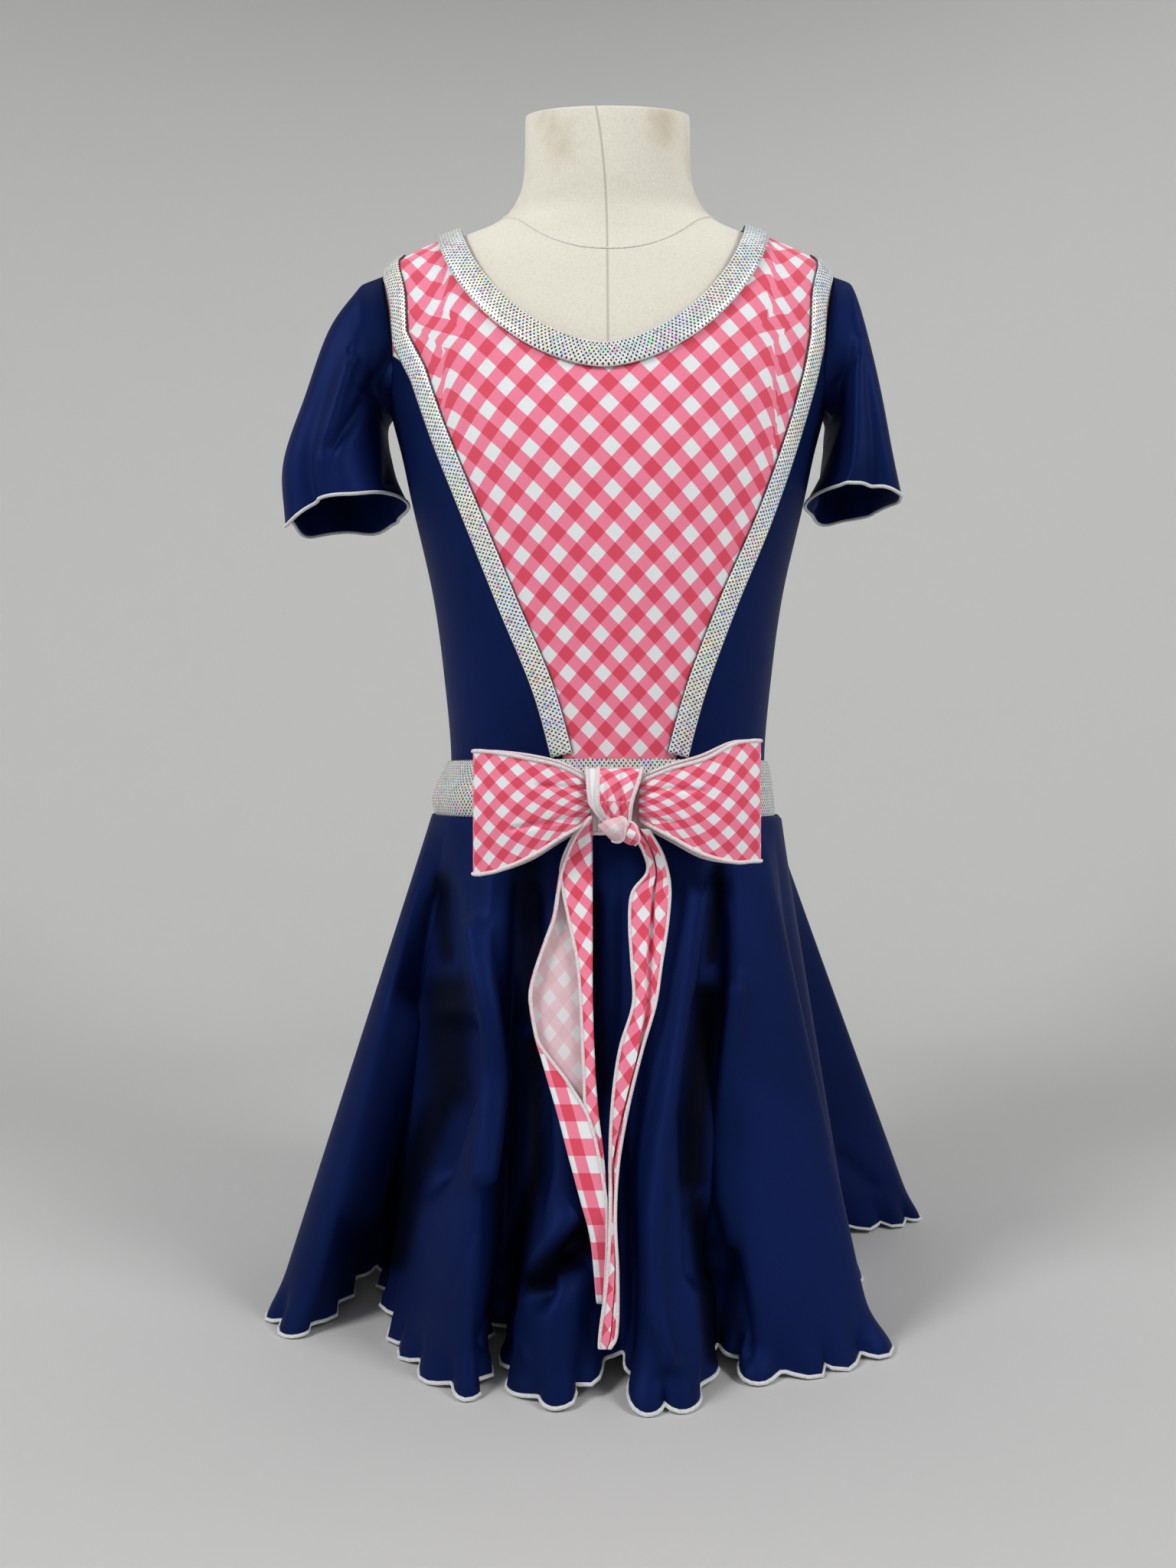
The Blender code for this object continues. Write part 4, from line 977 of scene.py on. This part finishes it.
# Folds and creases as `bent` takes them: half width, height, then the line
SKIRT_CREASES = (
    (1.2, -0.6, (576, 1170), (585, 1290)),
    (1.1, -1.1, (576, 1345), (574, 1420), (548, 1550)),
    (1.1, -1.3, (603, 1345), (601, 1420), (565, 1530)),
    (1.0, -0.9, (688, 1169), (695, 1350)),
    (0.9, -1.7, (695, 1370), (700, 1528), (646, 1747)),
    (0.9, -0.8, (771, 1179), (774, 1395)),
    (0.9, -0.8, (937, 1156), (926, 1297)),
    (1.0, -1.9, (924, 1317), (907, 1458), (920, 1660)),
    (0.75, 1.0, (625, 1215), (646, 1400), (628, 1540)),
    (1.4, 1.5, (531, 1330), (517, 1390), (500, 1460), (478, 1570)),
    (0.8, 0.7, (960, 1290), (950, 1400), (942, 1490), (948, 1620)),
    (0.18, -0.07, (622, 1560), (620, 1830)),
    (0.3, -0.12, (620, 1608), (586, 1690)),
    (1.0, 0.45, (746, 1591), (668, 1692)),
    (1.2, -1.6, (774, 1621), (698, 1686)),
    (0.35, 0.14, (664, 1714), (690, 1780)),
    (0.8, 0.9, (909, 1169), (864, 1490), (856, 1587), (858, 1712), (873, 1775)),
    (1.3, -0.75, (931, 1600), (975, 1760)),
    (0.6, -0.3, (1095, 1509), (1138, 1549)),
)
CREASES_BEHIND = 0.3
# The deep hollows, which the form leaves no room to sink as far as they really do, get painted
# shade
# instead: half width, darkness, then the line. The painted shade ends over a few cm at the sides
SHADE_EASE = 2.0
SKIRT_SHADED_HOLLOWS = (
    (0.8, 0.8, (576, 1149), (583, 1250)),
    (2.1, 0.88, (585, 1300), (586, 1420)),
    (1.5, 0.88, (575, 1440), (532, 1554), (515, 1640)),
    (1.5, 0.85, (688, 1130), (690, 1200), (697, 1320)),
    (0.9, 0.95, (699, 1360), (700, 1528), (672, 1650), (648, 1747)),
    (0.8, 0.7, (773, 1130), (778, 1300), (788, 1420)),
    (1.4, 0.95, (768, 1612), (702, 1672)),
    (0.6, 0.9, (938, 1130), (930, 1250)),
    (1.3, 0.95, (926, 1300), (907, 1458), (904, 1540)),
    (0.9, 0.9, (908, 1570), (924, 1683), (934, 1770)),
)


def hem_curve():
    """The hem as a closed curve, and the waist angle of each of its points.

    It runs valley, shoulder, shoulder, valley through every flute, as a closed cubic spline, and
    the waist angle grows evenly along the cloth from each valley to the next.
    """
    table = np.array(FLUTES)
    valley = np.column_stack([table[:, 0:2], table[:, 7]])
    lift = np.full(len(table), HEM_LIFT)
    shoulders = [np.column_stack([table[:, at:at + 2], lift]) for at in (2, 4)]
    knots = np.stack([valley, *shoulders], axis=1).reshape(-1, 3)
    slope = (np.roll(knots, -1, axis=0) - np.roll(knots, 1, axis=0)) / 2
    slope[0::3] *= VALLEY_TIGHTNESS
    steps = np.tile([STEPS_TO_SHOULDER, STEPS_ACROSS, STEPS_TO_SHOULDER], len(table))
    index = np.repeat(np.arange(len(knots)), steps)
    t = np.concatenate([np.arange(count) / count for count in steps])[:, None]
    following = (index + 1) % len(knots)
    points = spline(t, knots[index], knots[following], slope[index], slope[following])
    points[:, 2] = np.maximum(points[:, 2], HEM_LIFT)
    lengths = np.linalg.norm(np.roll(points, -1, axis=0) - points, axis=1)
    each = 2 * STEPS_TO_SHOULDER + STEPS_ACROSS
    share = lengths.reshape(-1, each)
    share = (np.cumsum(share, axis=1) - share) / share.sum(axis=1, keepdims=True)
    waist = np.append(table[:, 6], table[0, 6] + 360)
    angle = waist[:-1, None] + np.diff(waist)[:, None] * share
    return points, angle.ravel()


def hem_ripples(hem):
    """How far each point of the hem is moved by its ripples and curls.

    A ripple is a cosine between its crests, out from the hem's curve, which lifts its troughs, with
    a sine along it that broadens the crests. The crests lie a step apart, less or more by a sine of
    their number. A curl is a bell out from the curve, whose head spreads along it.
    """
    run = run_of(hem, True)
    run[:, 2] = 0
    run /= np.linalg.norm(run, axis=1, keepdims=True)
    out = np.cross(run, (0.0, 0.0, 1.0))
    steps = np.linalg.norm(np.roll(hem, -1, axis=0) - hem, axis=1)
    place, length = np.cumsum(steps) - steps, steps.sum()
    number = np.arange(round(length / RIPPLE_STEP) + 1)
    crests = (number + RIPPLE_STRAY * np.sin(RIPPLE_TURN * number)) * length / number[-1]
    crests[-1] = length
    phase = 2 * np.pi * np.interp(place, crests, number)
    valleys = place[::2 * STEPS_TO_SHOULDER + STEPS_ACROSS]
    near = np.abs((place[:, None] - valleys + length / 2) % length - length / 2).min(axis=1)
    size = 1 - np.exp(-(near / RIPPLE_VALLEY) ** 2)
    push, along = RIPPLE_OUT * size * np.cos(phase), RIPPLE_LEAN * size * np.sin(phase)
    for middle, width, height, spread in CURLS:
        off = (place - middle) / width
        bell = np.exp(-off ** 2)
        push += height * bell
        along += spread * off * bell
    move = out * push[:, None] + run * along[:, None]
    move[:, 2] += RIPPLE_LIFT * size * (1 - np.cos(phase)) / 2
    return move


def skirt_fall():
    """Straight fall lines from a small shelf at the waist to the fluted hem, with its ripples."""
    hem, angles = hem_curve()
    span = BELT_TOP - BELT_FOOT
    stand = belt_out((SKIRT_TOP - BELT_FOOT) / span, angles) + SKIRT_STAND
    top = settle(ring(np.full(len(angles), SKIRT_TOP), angles), stand)
    reach = belt_out((SKIRT_SEAM - BELT_FOOT) / span, angles) + LAYER_GAP + WALL
    seam = settle(ring(np.full(len(angles), SKIRT_SEAM), angles), reach)
    share = (np.linspace(0, 1, SKIRT_ROWS + 1) ** HEM_CROWD)[:, None, None]
    fade = np.exp(-(share * (SKIRT_TOP - HEM_LIFT) / RIPPLE_FADE) ** 2)
    fall = hem + (top - hem) * share + hem_ripples(hem) * fade
    return bent(np.concatenate([fall, seam[None]]), SKIRT_CREASES, True, CREASES_BEHIND)


white_thread = thread("white hem thread", (0.74, 0.75, 0.76))
skirt_grid = skirt_fall()
# Painted shade: how dark each point of the skirt is painted, a bell round each hollow's line that
# fades towards the sides, carried to the material in the pattern marks
skirt_painted_shade = np.zeros(skirt_grid.shape[:2])
for width, dark, *line in SKIRT_SHADED_HOLLOWS:
    reach = off_line(seen(skirt_grid), line) / width
    bell = dark * np.exp(-reach ** 4) * (-skirt_grid[..., 1] / SHADE_EASE).clip(0, 1)
    skirt_painted_shade = np.maximum(skirt_painted_shade, bell)
skirt_painted_shade = np.concatenate([skirt_painted_shade, skirt_painted_shade[:, :1]], axis=1)
skirt = skin("skirt_jersey", skirt_grid, [navy("navy jersey of the skirt with painted shade", painted_shade=True)],
             np.stack([skirt_painted_shade, 0 * skirt_painted_shade], axis=-1), around=True)
sewn(skirt, "skirt")
skirt_hem = rolled("skirt_hem_thread", skirt_grid[0], HEM_ROLL, [white_thread])


# The flutter sleeves. Navy jersey cut in a curve and sewn to the armholes, so that the free edge
# ripples, with the same white rolled edge as the skirt's hem.
# Sections from the armhole's edge to the hem: the outer point (x, z), the inner point (x, z) and
# the half depth, with x counted outwards from the middle
SLEEVE_L = (
    (14.15, 61.3, 13.35, 52.7, 3.7),
    (15.2, 60.0, 13.7, 52.0, 4.1),
    (16.8, 57.6, 13.6, 51.2, 4.5),
    (18.2, 53.6, 13.4, 50.3, 4.8),
    (19.5, 49.6, 13.0, 48.8, 5.1),
    (19.3, 46.3, 12.3, 47.3, 5.0),
)
SLEEVE_R = (
    (14.15, 61.3, 13.35, 52.7, 3.7),
    (14.8, 60.1, 13.7, 52.0, 4.1),
    (15.5, 57.4, 13.6, 51.2, 4.5),
    (16.3, 53.6, 13.4, 50.3, 4.8),
    (17.0, 49.8, 13.0, 48.8, 5.0),
    (17.6, 47.4, 12.3, 47.4, 4.9),
)
ARM_INSET, SLEEVE_OUT = 0.06, FORM_GAP + 0.05
WAVE_SIDEWAYS, WAVE_PUSH_POWER, WAVE_DROP_POWER = 0.6, 1.5, 3
# Ruffle waves: angle round the sleeve from the outer edge towards the front, width in degrees,
# push outwards and drop at the hem
WAVES_L = (
    (38.0, 24.0, 0.7, 1.2),
    (72.0, 15.0, -0.7, 0.0),
    (105.0, 22.0, 0.35, 0.3),
    (215.0, 18.0, -0.4, 0.1),
    (262.0, 20.0, 0.5, 0.3),
    (305.0, 18.0, -0.5, 0.2),
    (335.0, 20.0, 0.4, 0.6),
)
WAVES_R = (
    (12.0, 18.0, 0.3, 0.2),
    (48.0, 18.0, 0.6, 0.5),
    (82.0, 14.0, -0.6, 0.1),
    (118.0, 20.0, 0.35, 0.1),
    (222.0, 18.0, -0.4, 0.1),
    (258.0, 20.0, 0.45, 0.3),
    (300.0, 20.0, -0.5, 0.2),
)
SLEEVE_ROWS, SLEEVE_COLUMNS = 60, 240
# The share of the sleeve over which it leaves the armhole's edge is one part in this many
SLEEVE_EASE = 7
SLEEVE_CREASES = (
    (0.55, 0.35, (459, 470), (446, 509), (430, 563), (422, 589), (419, 615), (425, 669)),
    (0.6, -0.35, (515, 460), (491, 496), (469, 537), (433, 586)),
    (0.22, -0.1, (457, 454), (456, 476), (465, 499), (478, 513)),
    (0.6, -0.55, (512, 521), (512, 627)),
    (0.4, 0.2, (1124, 444), (1121, 515), (1119, 579), (1116, 611), (1102, 647)),
    (0.3, -0.12, (1121, 464), (1105, 489), (1092, 502)),
)


def sleeve(table, waves, side):
    """A sleeve's sections from the armhole down to the hem, with its ruffle waves.

    A section is an ellipse between its outer and inner points. A wave is a bell in angle, whose
    push and drop grow with powers of the share of the way down.
    """
    data = smooth(table, SLEEVE_ROWS)
    turns = np.arange(SLEEVE_COLUMNS) * 360 / SLEEVE_COLUMNS
    cosine, sine = np.cos(np.radians(turns)), np.sin(np.radians(turns))
    share = np.linspace(0, 1, SLEEVE_ROWS)[:, None]
    angle, width, out, fall = (column[:, None, None] for column in np.array(waves).T)
    bell = np.exp(-(((turns - angle + 180) % 360 - 180) / width) ** 2)
    push = (out * bell).sum(axis=0) * share ** WAVE_PUSH_POWER
    drop = (fall * bell).sum(axis=0) * share ** WAVE_DROP_POWER
    middle, arm = (data[:, 0:2] + data[:, 2:4]) / 2, (data[:, 0:2] - data[:, 2:4]) / 2
    x = middle[:, :1] + (arm[:, :1] + WAVE_SIDEWAYS * push) * cosine
    y = -(data[:, 4:] + push) * sine
    z = middle[:, 1:] + arm[:, 1:] * cosine - drop
    grid = np.stack([side * x, y, z], axis=-1)
    edge = settle(armhole(turns, side, -ARM_INSET), SLEEVE_OUT)
    ease = (1 - np.linspace(0, 1, SLEEVE_ROWS) * SLEEVE_EASE).clip(0, 1)[:, None, None]
    return grid + (edge - grid[0]) * ease


for side, letter, table, waves in ((-1, "L", SLEEVE_L, WAVES_L), (1, "R", SLEEVE_R, WAVES_R)):
    grid = bent(sleeve(table, waves, side)[::-1, ::-side], SLEEVE_CREASES, around=True)
    piece = skin("sleeve_jersey_" + letter, grid, [jersey], around=True)
    sewn(piece, "sleeve_" + letter)
    hem = rolled("sleeve_hem_thread_" + letter, grid[0], HEM_ROLL, [white_thread])


# The bow. A long strip of the gingham with an overlocked pale edge, folded into two flat loops of
# two layers each, held by a knot, with a smaller tie under it that the two tails hang from.
LOOP_L = (
    (-1.05, 27.9, 30.3, -9.88, -9.12),
    (-2.6, 27.0, 31.1, -10.55, -8.95),
    (-4.2, 26.0, 31.5, -10.85, -8.95),
    (-5.8, 25.4, 31.7, -10.65, -9.05),
    (-6.9, 25.2, 31.75, -10.15, -9.25),
)
LOOP_R = (
    (1.5, 27.9, 30.3, -9.88, -9.12),
    (3.2, 27.0, 31.0, -10.55, -8.95),
    (4.9, 26.1, 31.5, -10.85, -8.95),
    (6.5, 25.8, 32.2, -10.65, -9.05),
    (7.6, 25.9, 32.3, -10.15, -9.25),
)
# How far inside the back layer's edges the front layer's lie, and over what length from the fold
LOOP_FOLD, LOOP_BELLY, LOOP_INSIDE, LOOP_EASE = 0.45, 0.25, 0.2, 2.5
LOOP_ROWS, LOOP_COLUMNS, LOOP_TURN = 64, 70, 9
# The strip's flat width and its check's repeat, along and across
LOOP_WIDTH, LOOP_CHECK = 6.5, (1.62, 1.62)
LOOP_CREASES = (
    (0.2, -0.14, (703, 1026), (767, 1029)),
    (0.22, -0.16, (669, 1083), (761, 1067)),
    (0.2, -0.14, (830, 1037), (875, 1030), (919, 1033)),
    (0.2, -0.14, (833, 1069), (884, 1075)),
)
# The pale edge's radius, and its size on the tails and on the tie as a share
EDGE_ROLL, TAIL_EDGE, TIE_ROLL = 0.11, 0.8, 0.7


def loop(table, side):
    """A loop: rows from its lower to its upper edge, columns along the strip round the fold.

    Its marks are the strip's own distances along and across, which crowd where it is gathered.
    """
    up = np.linspace(0, 1, LOOP_ROWS)
    x, low, high, front, back = smooth(table, LOOP_COLUMNS).T
    turn = np.linspace(0, np.pi, LOOP_TURN)[1:-1]
    depth, half = (front[-1] + back[-1]) / 2, (back[-1] - front[-1]) / 2
    ones = np.ones(len(turn))
    x = np.concatenate([x, x[-1] + side * LOOP_FOLD * np.sin(turn), x[::-1]])
    belly = np.concatenate([np.full(len(front), LOOP_BELLY), LOOP_BELLY * np.cos(turn).clip(0, 1),
                            np.zeros(len(back))])
    y = np.concatenate([front, depth - half * np.cos(turn), back[::-1]])
    low = np.concatenate([low, low[-1] * ones, low[::-1]])
    high = np.concatenate([high, high[-1] * ones, high[::-1]])
    y = y - belly * np.sin(np.pi * up)[:, None]
    inside = LOOP_INSIDE * (side * (table[-1][0] - x) / LOOP_EASE).clip(0, 1)
    inside[len(front):] = 0
    z = (low + inside) + (high - low - 2 * inside) * up[:, None]
    grid = stacked(x, y, z)
    along = side * distances(grid[LOOP_ROWS // 2]) / LOOP_CHECK[0]
    across = LOOP_WIDTH * (up - 0.5)[:, None] / LOOP_CHECK[1]
    marks = stacked(along, across)
    return grid[:, ::side], marks[:, ::side]


bow_print = gingham("gingham of the bow", 22.0)
bow_back = gingham("wrong side of the bow's gingham", 22.0, wrong=True)
pale_thread = thread("pale overlock thread", (0.86, 0.76, 0.78))
for side, letter, table in ((-1, "L", LOOP_L), (1, "R", LOOP_R)):
    grid, marks = loop(table, side)
    grid = bent(grid, LOOP_CREASES)
    piece = skin("bow_loop_gingham_" + letter, grid, [bow_print, bow_back], marks)
    sewn(piece, "bow_loop_" + letter)
    edges = edged("bow_loop_edge_" + letter, grid[[0, -1]], EDGE_ROLL, pale_thread, closed=False)

# The knot: the strip goes round the loops' gathered ends, drawn together towards the tie below. A
# plain pale band of its turned edge shows at its left.
KNOT_MIDDLE, KNOT_HIGH, KNOT_DEEP = (-9.5, 29.1), 1.75, 1.15
# Height, and where the knot's left and right edges are there in front
KNOT = ((27.3, 0.05, 0.95), (27.8, -0.1, 0.98), (28.3, -0.6, 1.0), (28.95, -1.08, 1.08),
        (29.4, -1.15, 1.2), (30.0, -1.2, 1.42), (30.9, -1.25, 1.7))
# Its folds, how deep they are, the band's share of its width, how much its middle bulges, and how
# soon its shape in front gives way to the plain one behind
KNOT_FOLDS, KNOT_FOLD, KNOT_BAND, KNOT_BULGE, KNOT_FRONT = 3.5, 0.14, 0.22, 0.12, 3
# The check's repeat, then the cloth's width, and its slant and run for each radian round the knot
KNOT_CHECK, KNOT_WIDE, KNOT_SLANT, KNOT_RUN = 1.3, 2.6, 0.45, 1.5
KNOT_ROWS, KNOT_COLUMNS = 64, 96

share = np.linspace(0, 1, KNOT_ROWS)[:, None]
turn = np.arange(KNOT_COLUMNS + 1) * 2 * np.pi / KNOT_COLUMNS
z = KNOT_MIDDLE[1] + KNOT_HIGH * np.sin(turn)
heights, lefts, rights = np.array(KNOT).T
front = (np.cos(turn) * KNOT_FRONT).clip(0, 1)
left = np.interp(z, heights, lefts) * front + KNOT[-1][1] * (1 - front)
right = np.interp(z, heights, rights) * front + KNOT[-1][2] * (1 - front)
x = left + (right - left) * share
y = KNOT_MIDDLE[0] - KNOT_DEEP * np.cos(turn) * (1 + KNOT_BULGE * np.sin(np.pi * share))
y = y - KNOT_FOLD * front * np.cos(2 * np.pi * KNOT_FOLDS * share) * np.sin(np.pi * share)
grid = stacked(x, y, z)[::-1]
marks = stacked((share * KNOT_WIDE - turn * KNOT_SLANT) / KNOT_CHECK,
                turn * KNOT_RUN / KNOT_CHECK)[::-1]
band = round((1 - KNOT_BAND) * KNOT_ROWS)
marks[band:] = 0
knot = skin("bow_knot_gingham", grid[:, :-1], [bow_print, bow_back], marks, around=True)
sewn(knot, "bow_knot")
rings = edged("bow_knot_edge", grid[[0, band, -1], :-1], EDGE_ROLL, pale_thread)

# The tie: the small end of cloth that is drawn through under the knot. Its knuckle is wrong side
# out, and a lobe of the print stands at its right.
# Name, node, middle, half width, half depth and half height, tilt in degrees, and how much taller
# the right side is than the left
TIES = (
    ("bow_tie_gingham", "bow_tie", (0.16, -10.6, 27.66), (0.8, 0.62, 0.62), 14.0, 0.55, bow_back),
    ("bow_tie_gingham_lobe", None, (1.05, -10.45, 27.38), (0.5, 0.5, 0.64), -16.0, 0.0, bow_print),
)
TIE_ROWS, TIE_COLUMNS = 36, 60
# Its folds' depth as a share, how many run round it and how much they twist, the angle at which its
# two ends are closed, and its check's repeat
TIE_FOLD, TIE_FOLDS, TIE_TWIST, TIE_POLE, TIE_CHECK = 0.1, 3, 4, 89.0, 1.2
# The column of the tie's faces that its pale edge follows, in front and to the right
TIE_EDGE = 9

rise = np.radians(np.linspace(-TIE_POLE, TIE_POLE, TIE_ROWS))[:, None]
turn = np.arange(TIE_COLUMNS + 1) * 2 * np.pi / TIE_COLUMNS
for name, node, middle, size, lean, taper, finish in TIES:
    swell = 1 + TIE_FOLD * np.cos(TIE_FOLDS * turn + TIE_TWIST * rise) * np.cos(rise)
    x = size[0] * np.cos(rise) * np.sin(turn) * swell
    y = -size[1] * np.cos(rise) * np.cos(turn) * swell
    z = size[2] * np.sin(rise) * (1 + taper * x / size[0])
    tilt = math.radians(lean)
    ball = np.stack([x * math.cos(tilt) + z * math.sin(tilt), y,
                     z * math.cos(tilt) - x * math.sin(tilt)], axis=-1) + middle
    marks = stacked(x / TIE_CHECK, z / TIE_CHECK)
    tie = skin(name, ball[:, :-1], [finish], marks, around=True, ends=True)
    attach(tie, "root")
    if node:
        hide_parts(node)
    rolled(name + "_edge", ball[:, TIE_EDGE], EDGE_ROLL * TIE_ROLL, [pale_thread], closed=False)

# The tails: the strip's two ends, hanging from the tie in front of the skirt. The left one is
# folded into a flat tube that gapes: its front layer runs from a free edge to the right fold, its
# back layer on to the left fold, and a flap comes round in front to the other free edge. The right
# one is pleated: one pleat sinks between its two flat sides.
# Left: height, depth, front edge, right fold, left fold and flap's edge.
# Right: height, depth, left edge, the pleat's two folds and the right edge
TAIL_L = (
    (28.3, -10.2, -1.05, -0.95, -1.05, -1.0),
    (27.25, -9.9, -1.95, -0.95, -1.95, -1.85),
    (25.4, -9.95, -2.65, -0.95, -2.7, -2.6),
    (23.0, -10.35, -2.25, -0.95, -3.1, -3.0),
    (21.0, -10.9, -1.8, -0.95, -3.8, -3.7),
    (19.1, -11.45, -1.6, -0.95, -4.3, -4.2),
    (17.1, -12.0, -1.5, -0.9, -4.0, -3.9),
    (16.0, -12.3, -1.45, -0.85, -3.65, -3.2),
    (14.9, -12.6, -1.4, -0.8, -3.3, -2.3),
    (13.2, -13.1, -1.35, -0.65, -2.75, -1.2),
    (11.3, -13.65, -1.25, -0.4, -2.2, -0.65),
    (9.2, -14.0, -1.1, -0.25, -1.6, -0.3),
    (7.3, -14.2, -0.95, -0.25, -1.1, -0.25),
    (4.4, -14.6, -0.7, -0.35, -0.8, -0.4),
)
TAIL_R = (
    (27.6, -10.15, 1.05, 1.45, 1.6, 2.0),
    (26.4, -9.9, 1.75, 2.15, 2.25, 2.7),
    (25.3, -9.95, 1.95, 2.4, 2.5, 3.05),
    (24.2, -10.1, 1.15, 2.2, 2.4, 3.15),
    (22.6, -10.45, 1.0, 2.05, 2.35, 3.0),
    (20.6, -11.0, 1.1, 1.8, 2.35, 2.65),
    (18.6, -11.6, 1.15, 1.7, 2.25, 2.3),
    (16.4, -12.2, 0.45, 1.4, 1.55, 1.6),
    (13.8, -12.75, 0.05, 0.7, 0.8, 0.9),
    (11.0, -13.35, -0.1, 0.05, 0.2, 0.35),
    (8.6, -14.45, -0.1, 0.05, 0.1, 0.15),
    (6.0, -15.1, -0.25, 0.1, 0.15, 0.25),
    (3.4, -15.55, -0.6, -0.1, -0.05, 0.2),
    (2.6, -15.65, -0.65, -0.3, -0.25, -0.15),
)
# How far the back layer and the flap lie behind and before the front, the folds' half width, and
# the flap's least width
TAIL_BACK, TAIL_FLAP, TAIL_FOLD, FLAP_LEAST = 0.42, 0.12, 0.1, 0.03
TAIL_ROWS, TAIL_STEPS, TAIL_TURN = 180, 16, 9
STRIP_CHECK, FLAP_CHECK = (1.45, 1.85), (1.2, 1.66)


def tail(table):
    """Rows of a tail from its tip up: its table's columns, the distance along it, and two runs."""
    data = smooth(table, TAIL_ROWS)[::-1]
    along = distances(data[:, :2])[:, None]
    return data.T[:, :, None], along, np.linspace(0, 1, TAIL_STEPS), np.linspace(0, 1, TAIL_TURN)


def tail_left():
    """The gaping tube, as a grid across the strip, and its marks.

    Each fold is half an ellipse between the layers at its two sides.
    """
    (z, y, edge, right, left, flap), along, share, turn = tail(TAIL_L)
    round_right = np.minimum(TAIL_FOLD, (right - edge) / 3)
    round_left = np.minimum(TAIL_FOLD, (right - left) / 3)
    begin, end = right - round_right, left + round_left
    behind, before = y + TAIL_BACK, y - TAIL_FLAP
    bend = np.pi * turn[1:-1]
    x = np.concatenate([
        edge + (begin - edge) * share, begin + round_right * np.sin(bend),
        begin + (end - begin) * share, end - round_left * np.sin(bend),
        end + (np.maximum(flap, end + FLAP_LEAST) - end) * share], axis=1)
    depth = np.concatenate([
        y + 0 * share, (y + behind - (behind - y) * np.cos(bend)) / 2, behind + 0 * share,
        (behind + before + (behind - before) * np.cos(bend)) / 2, before + 0 * share], axis=1)
    grid = stacked(x, depth, z)
    across = np.cumsum(np.abs(np.diff(x, axis=1, prepend=x[:, :1])), axis=1)
    strip = stacked(across / STRIP_CHECK[0], along / STRIP_CHECK[1])
    up, over = along / FLAP_CHECK[1], (x - left) / FLAP_CHECK[0]
    square = stacked((up - over) / 2, (up + over) / 2)
    turned = (np.arange(x.shape[1]) >= x.shape[1] - TAIL_STEPS - TAIL_TURN // 2)[None, :, None]
    return grid, np.where(turned, square, strip)


def tail_right():
    """The pleated strip, as a grid across it, and its marks."""
    (z, y, left, first, second, right), along, share, turn = tail(TAIL_R)
    dip = np.sin(np.pi * turn[1:-1])
    x = np.concatenate([left + (first - left) * share, first + (second - first) * turn[1:-1],
                        second + (right - second) * share], axis=1)
    depth = np.concatenate([y + 0 * share, y + TAIL_BACK * dip, y + 0 * share], axis=1)
    grid = stacked(x, depth, z)
    step = np.linalg.norm(np.diff(grid, axis=1, prepend=grid[:, :1]), axis=-1)
    return grid, stacked(np.cumsum(step, axis=1) / STRIP_CHECK[0], along / STRIP_CHECK[1])


for letter, (grid, marks), flat, area in (("L", tail_left(), (0.05, 0.25), 0.009),
                                          ("R", tail_right(), (0.03, 0.26), 0.006)):
    piece = skin("bow_tail_gingham_" + letter, grid, [bow_print, bow_back], marks)
    sewn(piece, "bow_tail_" + letter)
    edges = edged("bow_tail_edge_" + letter, (grid[:, 0], grid[:, -1]), EDGE_ROLL * TAIL_EDGE,
                  pale_thread, closed=False)
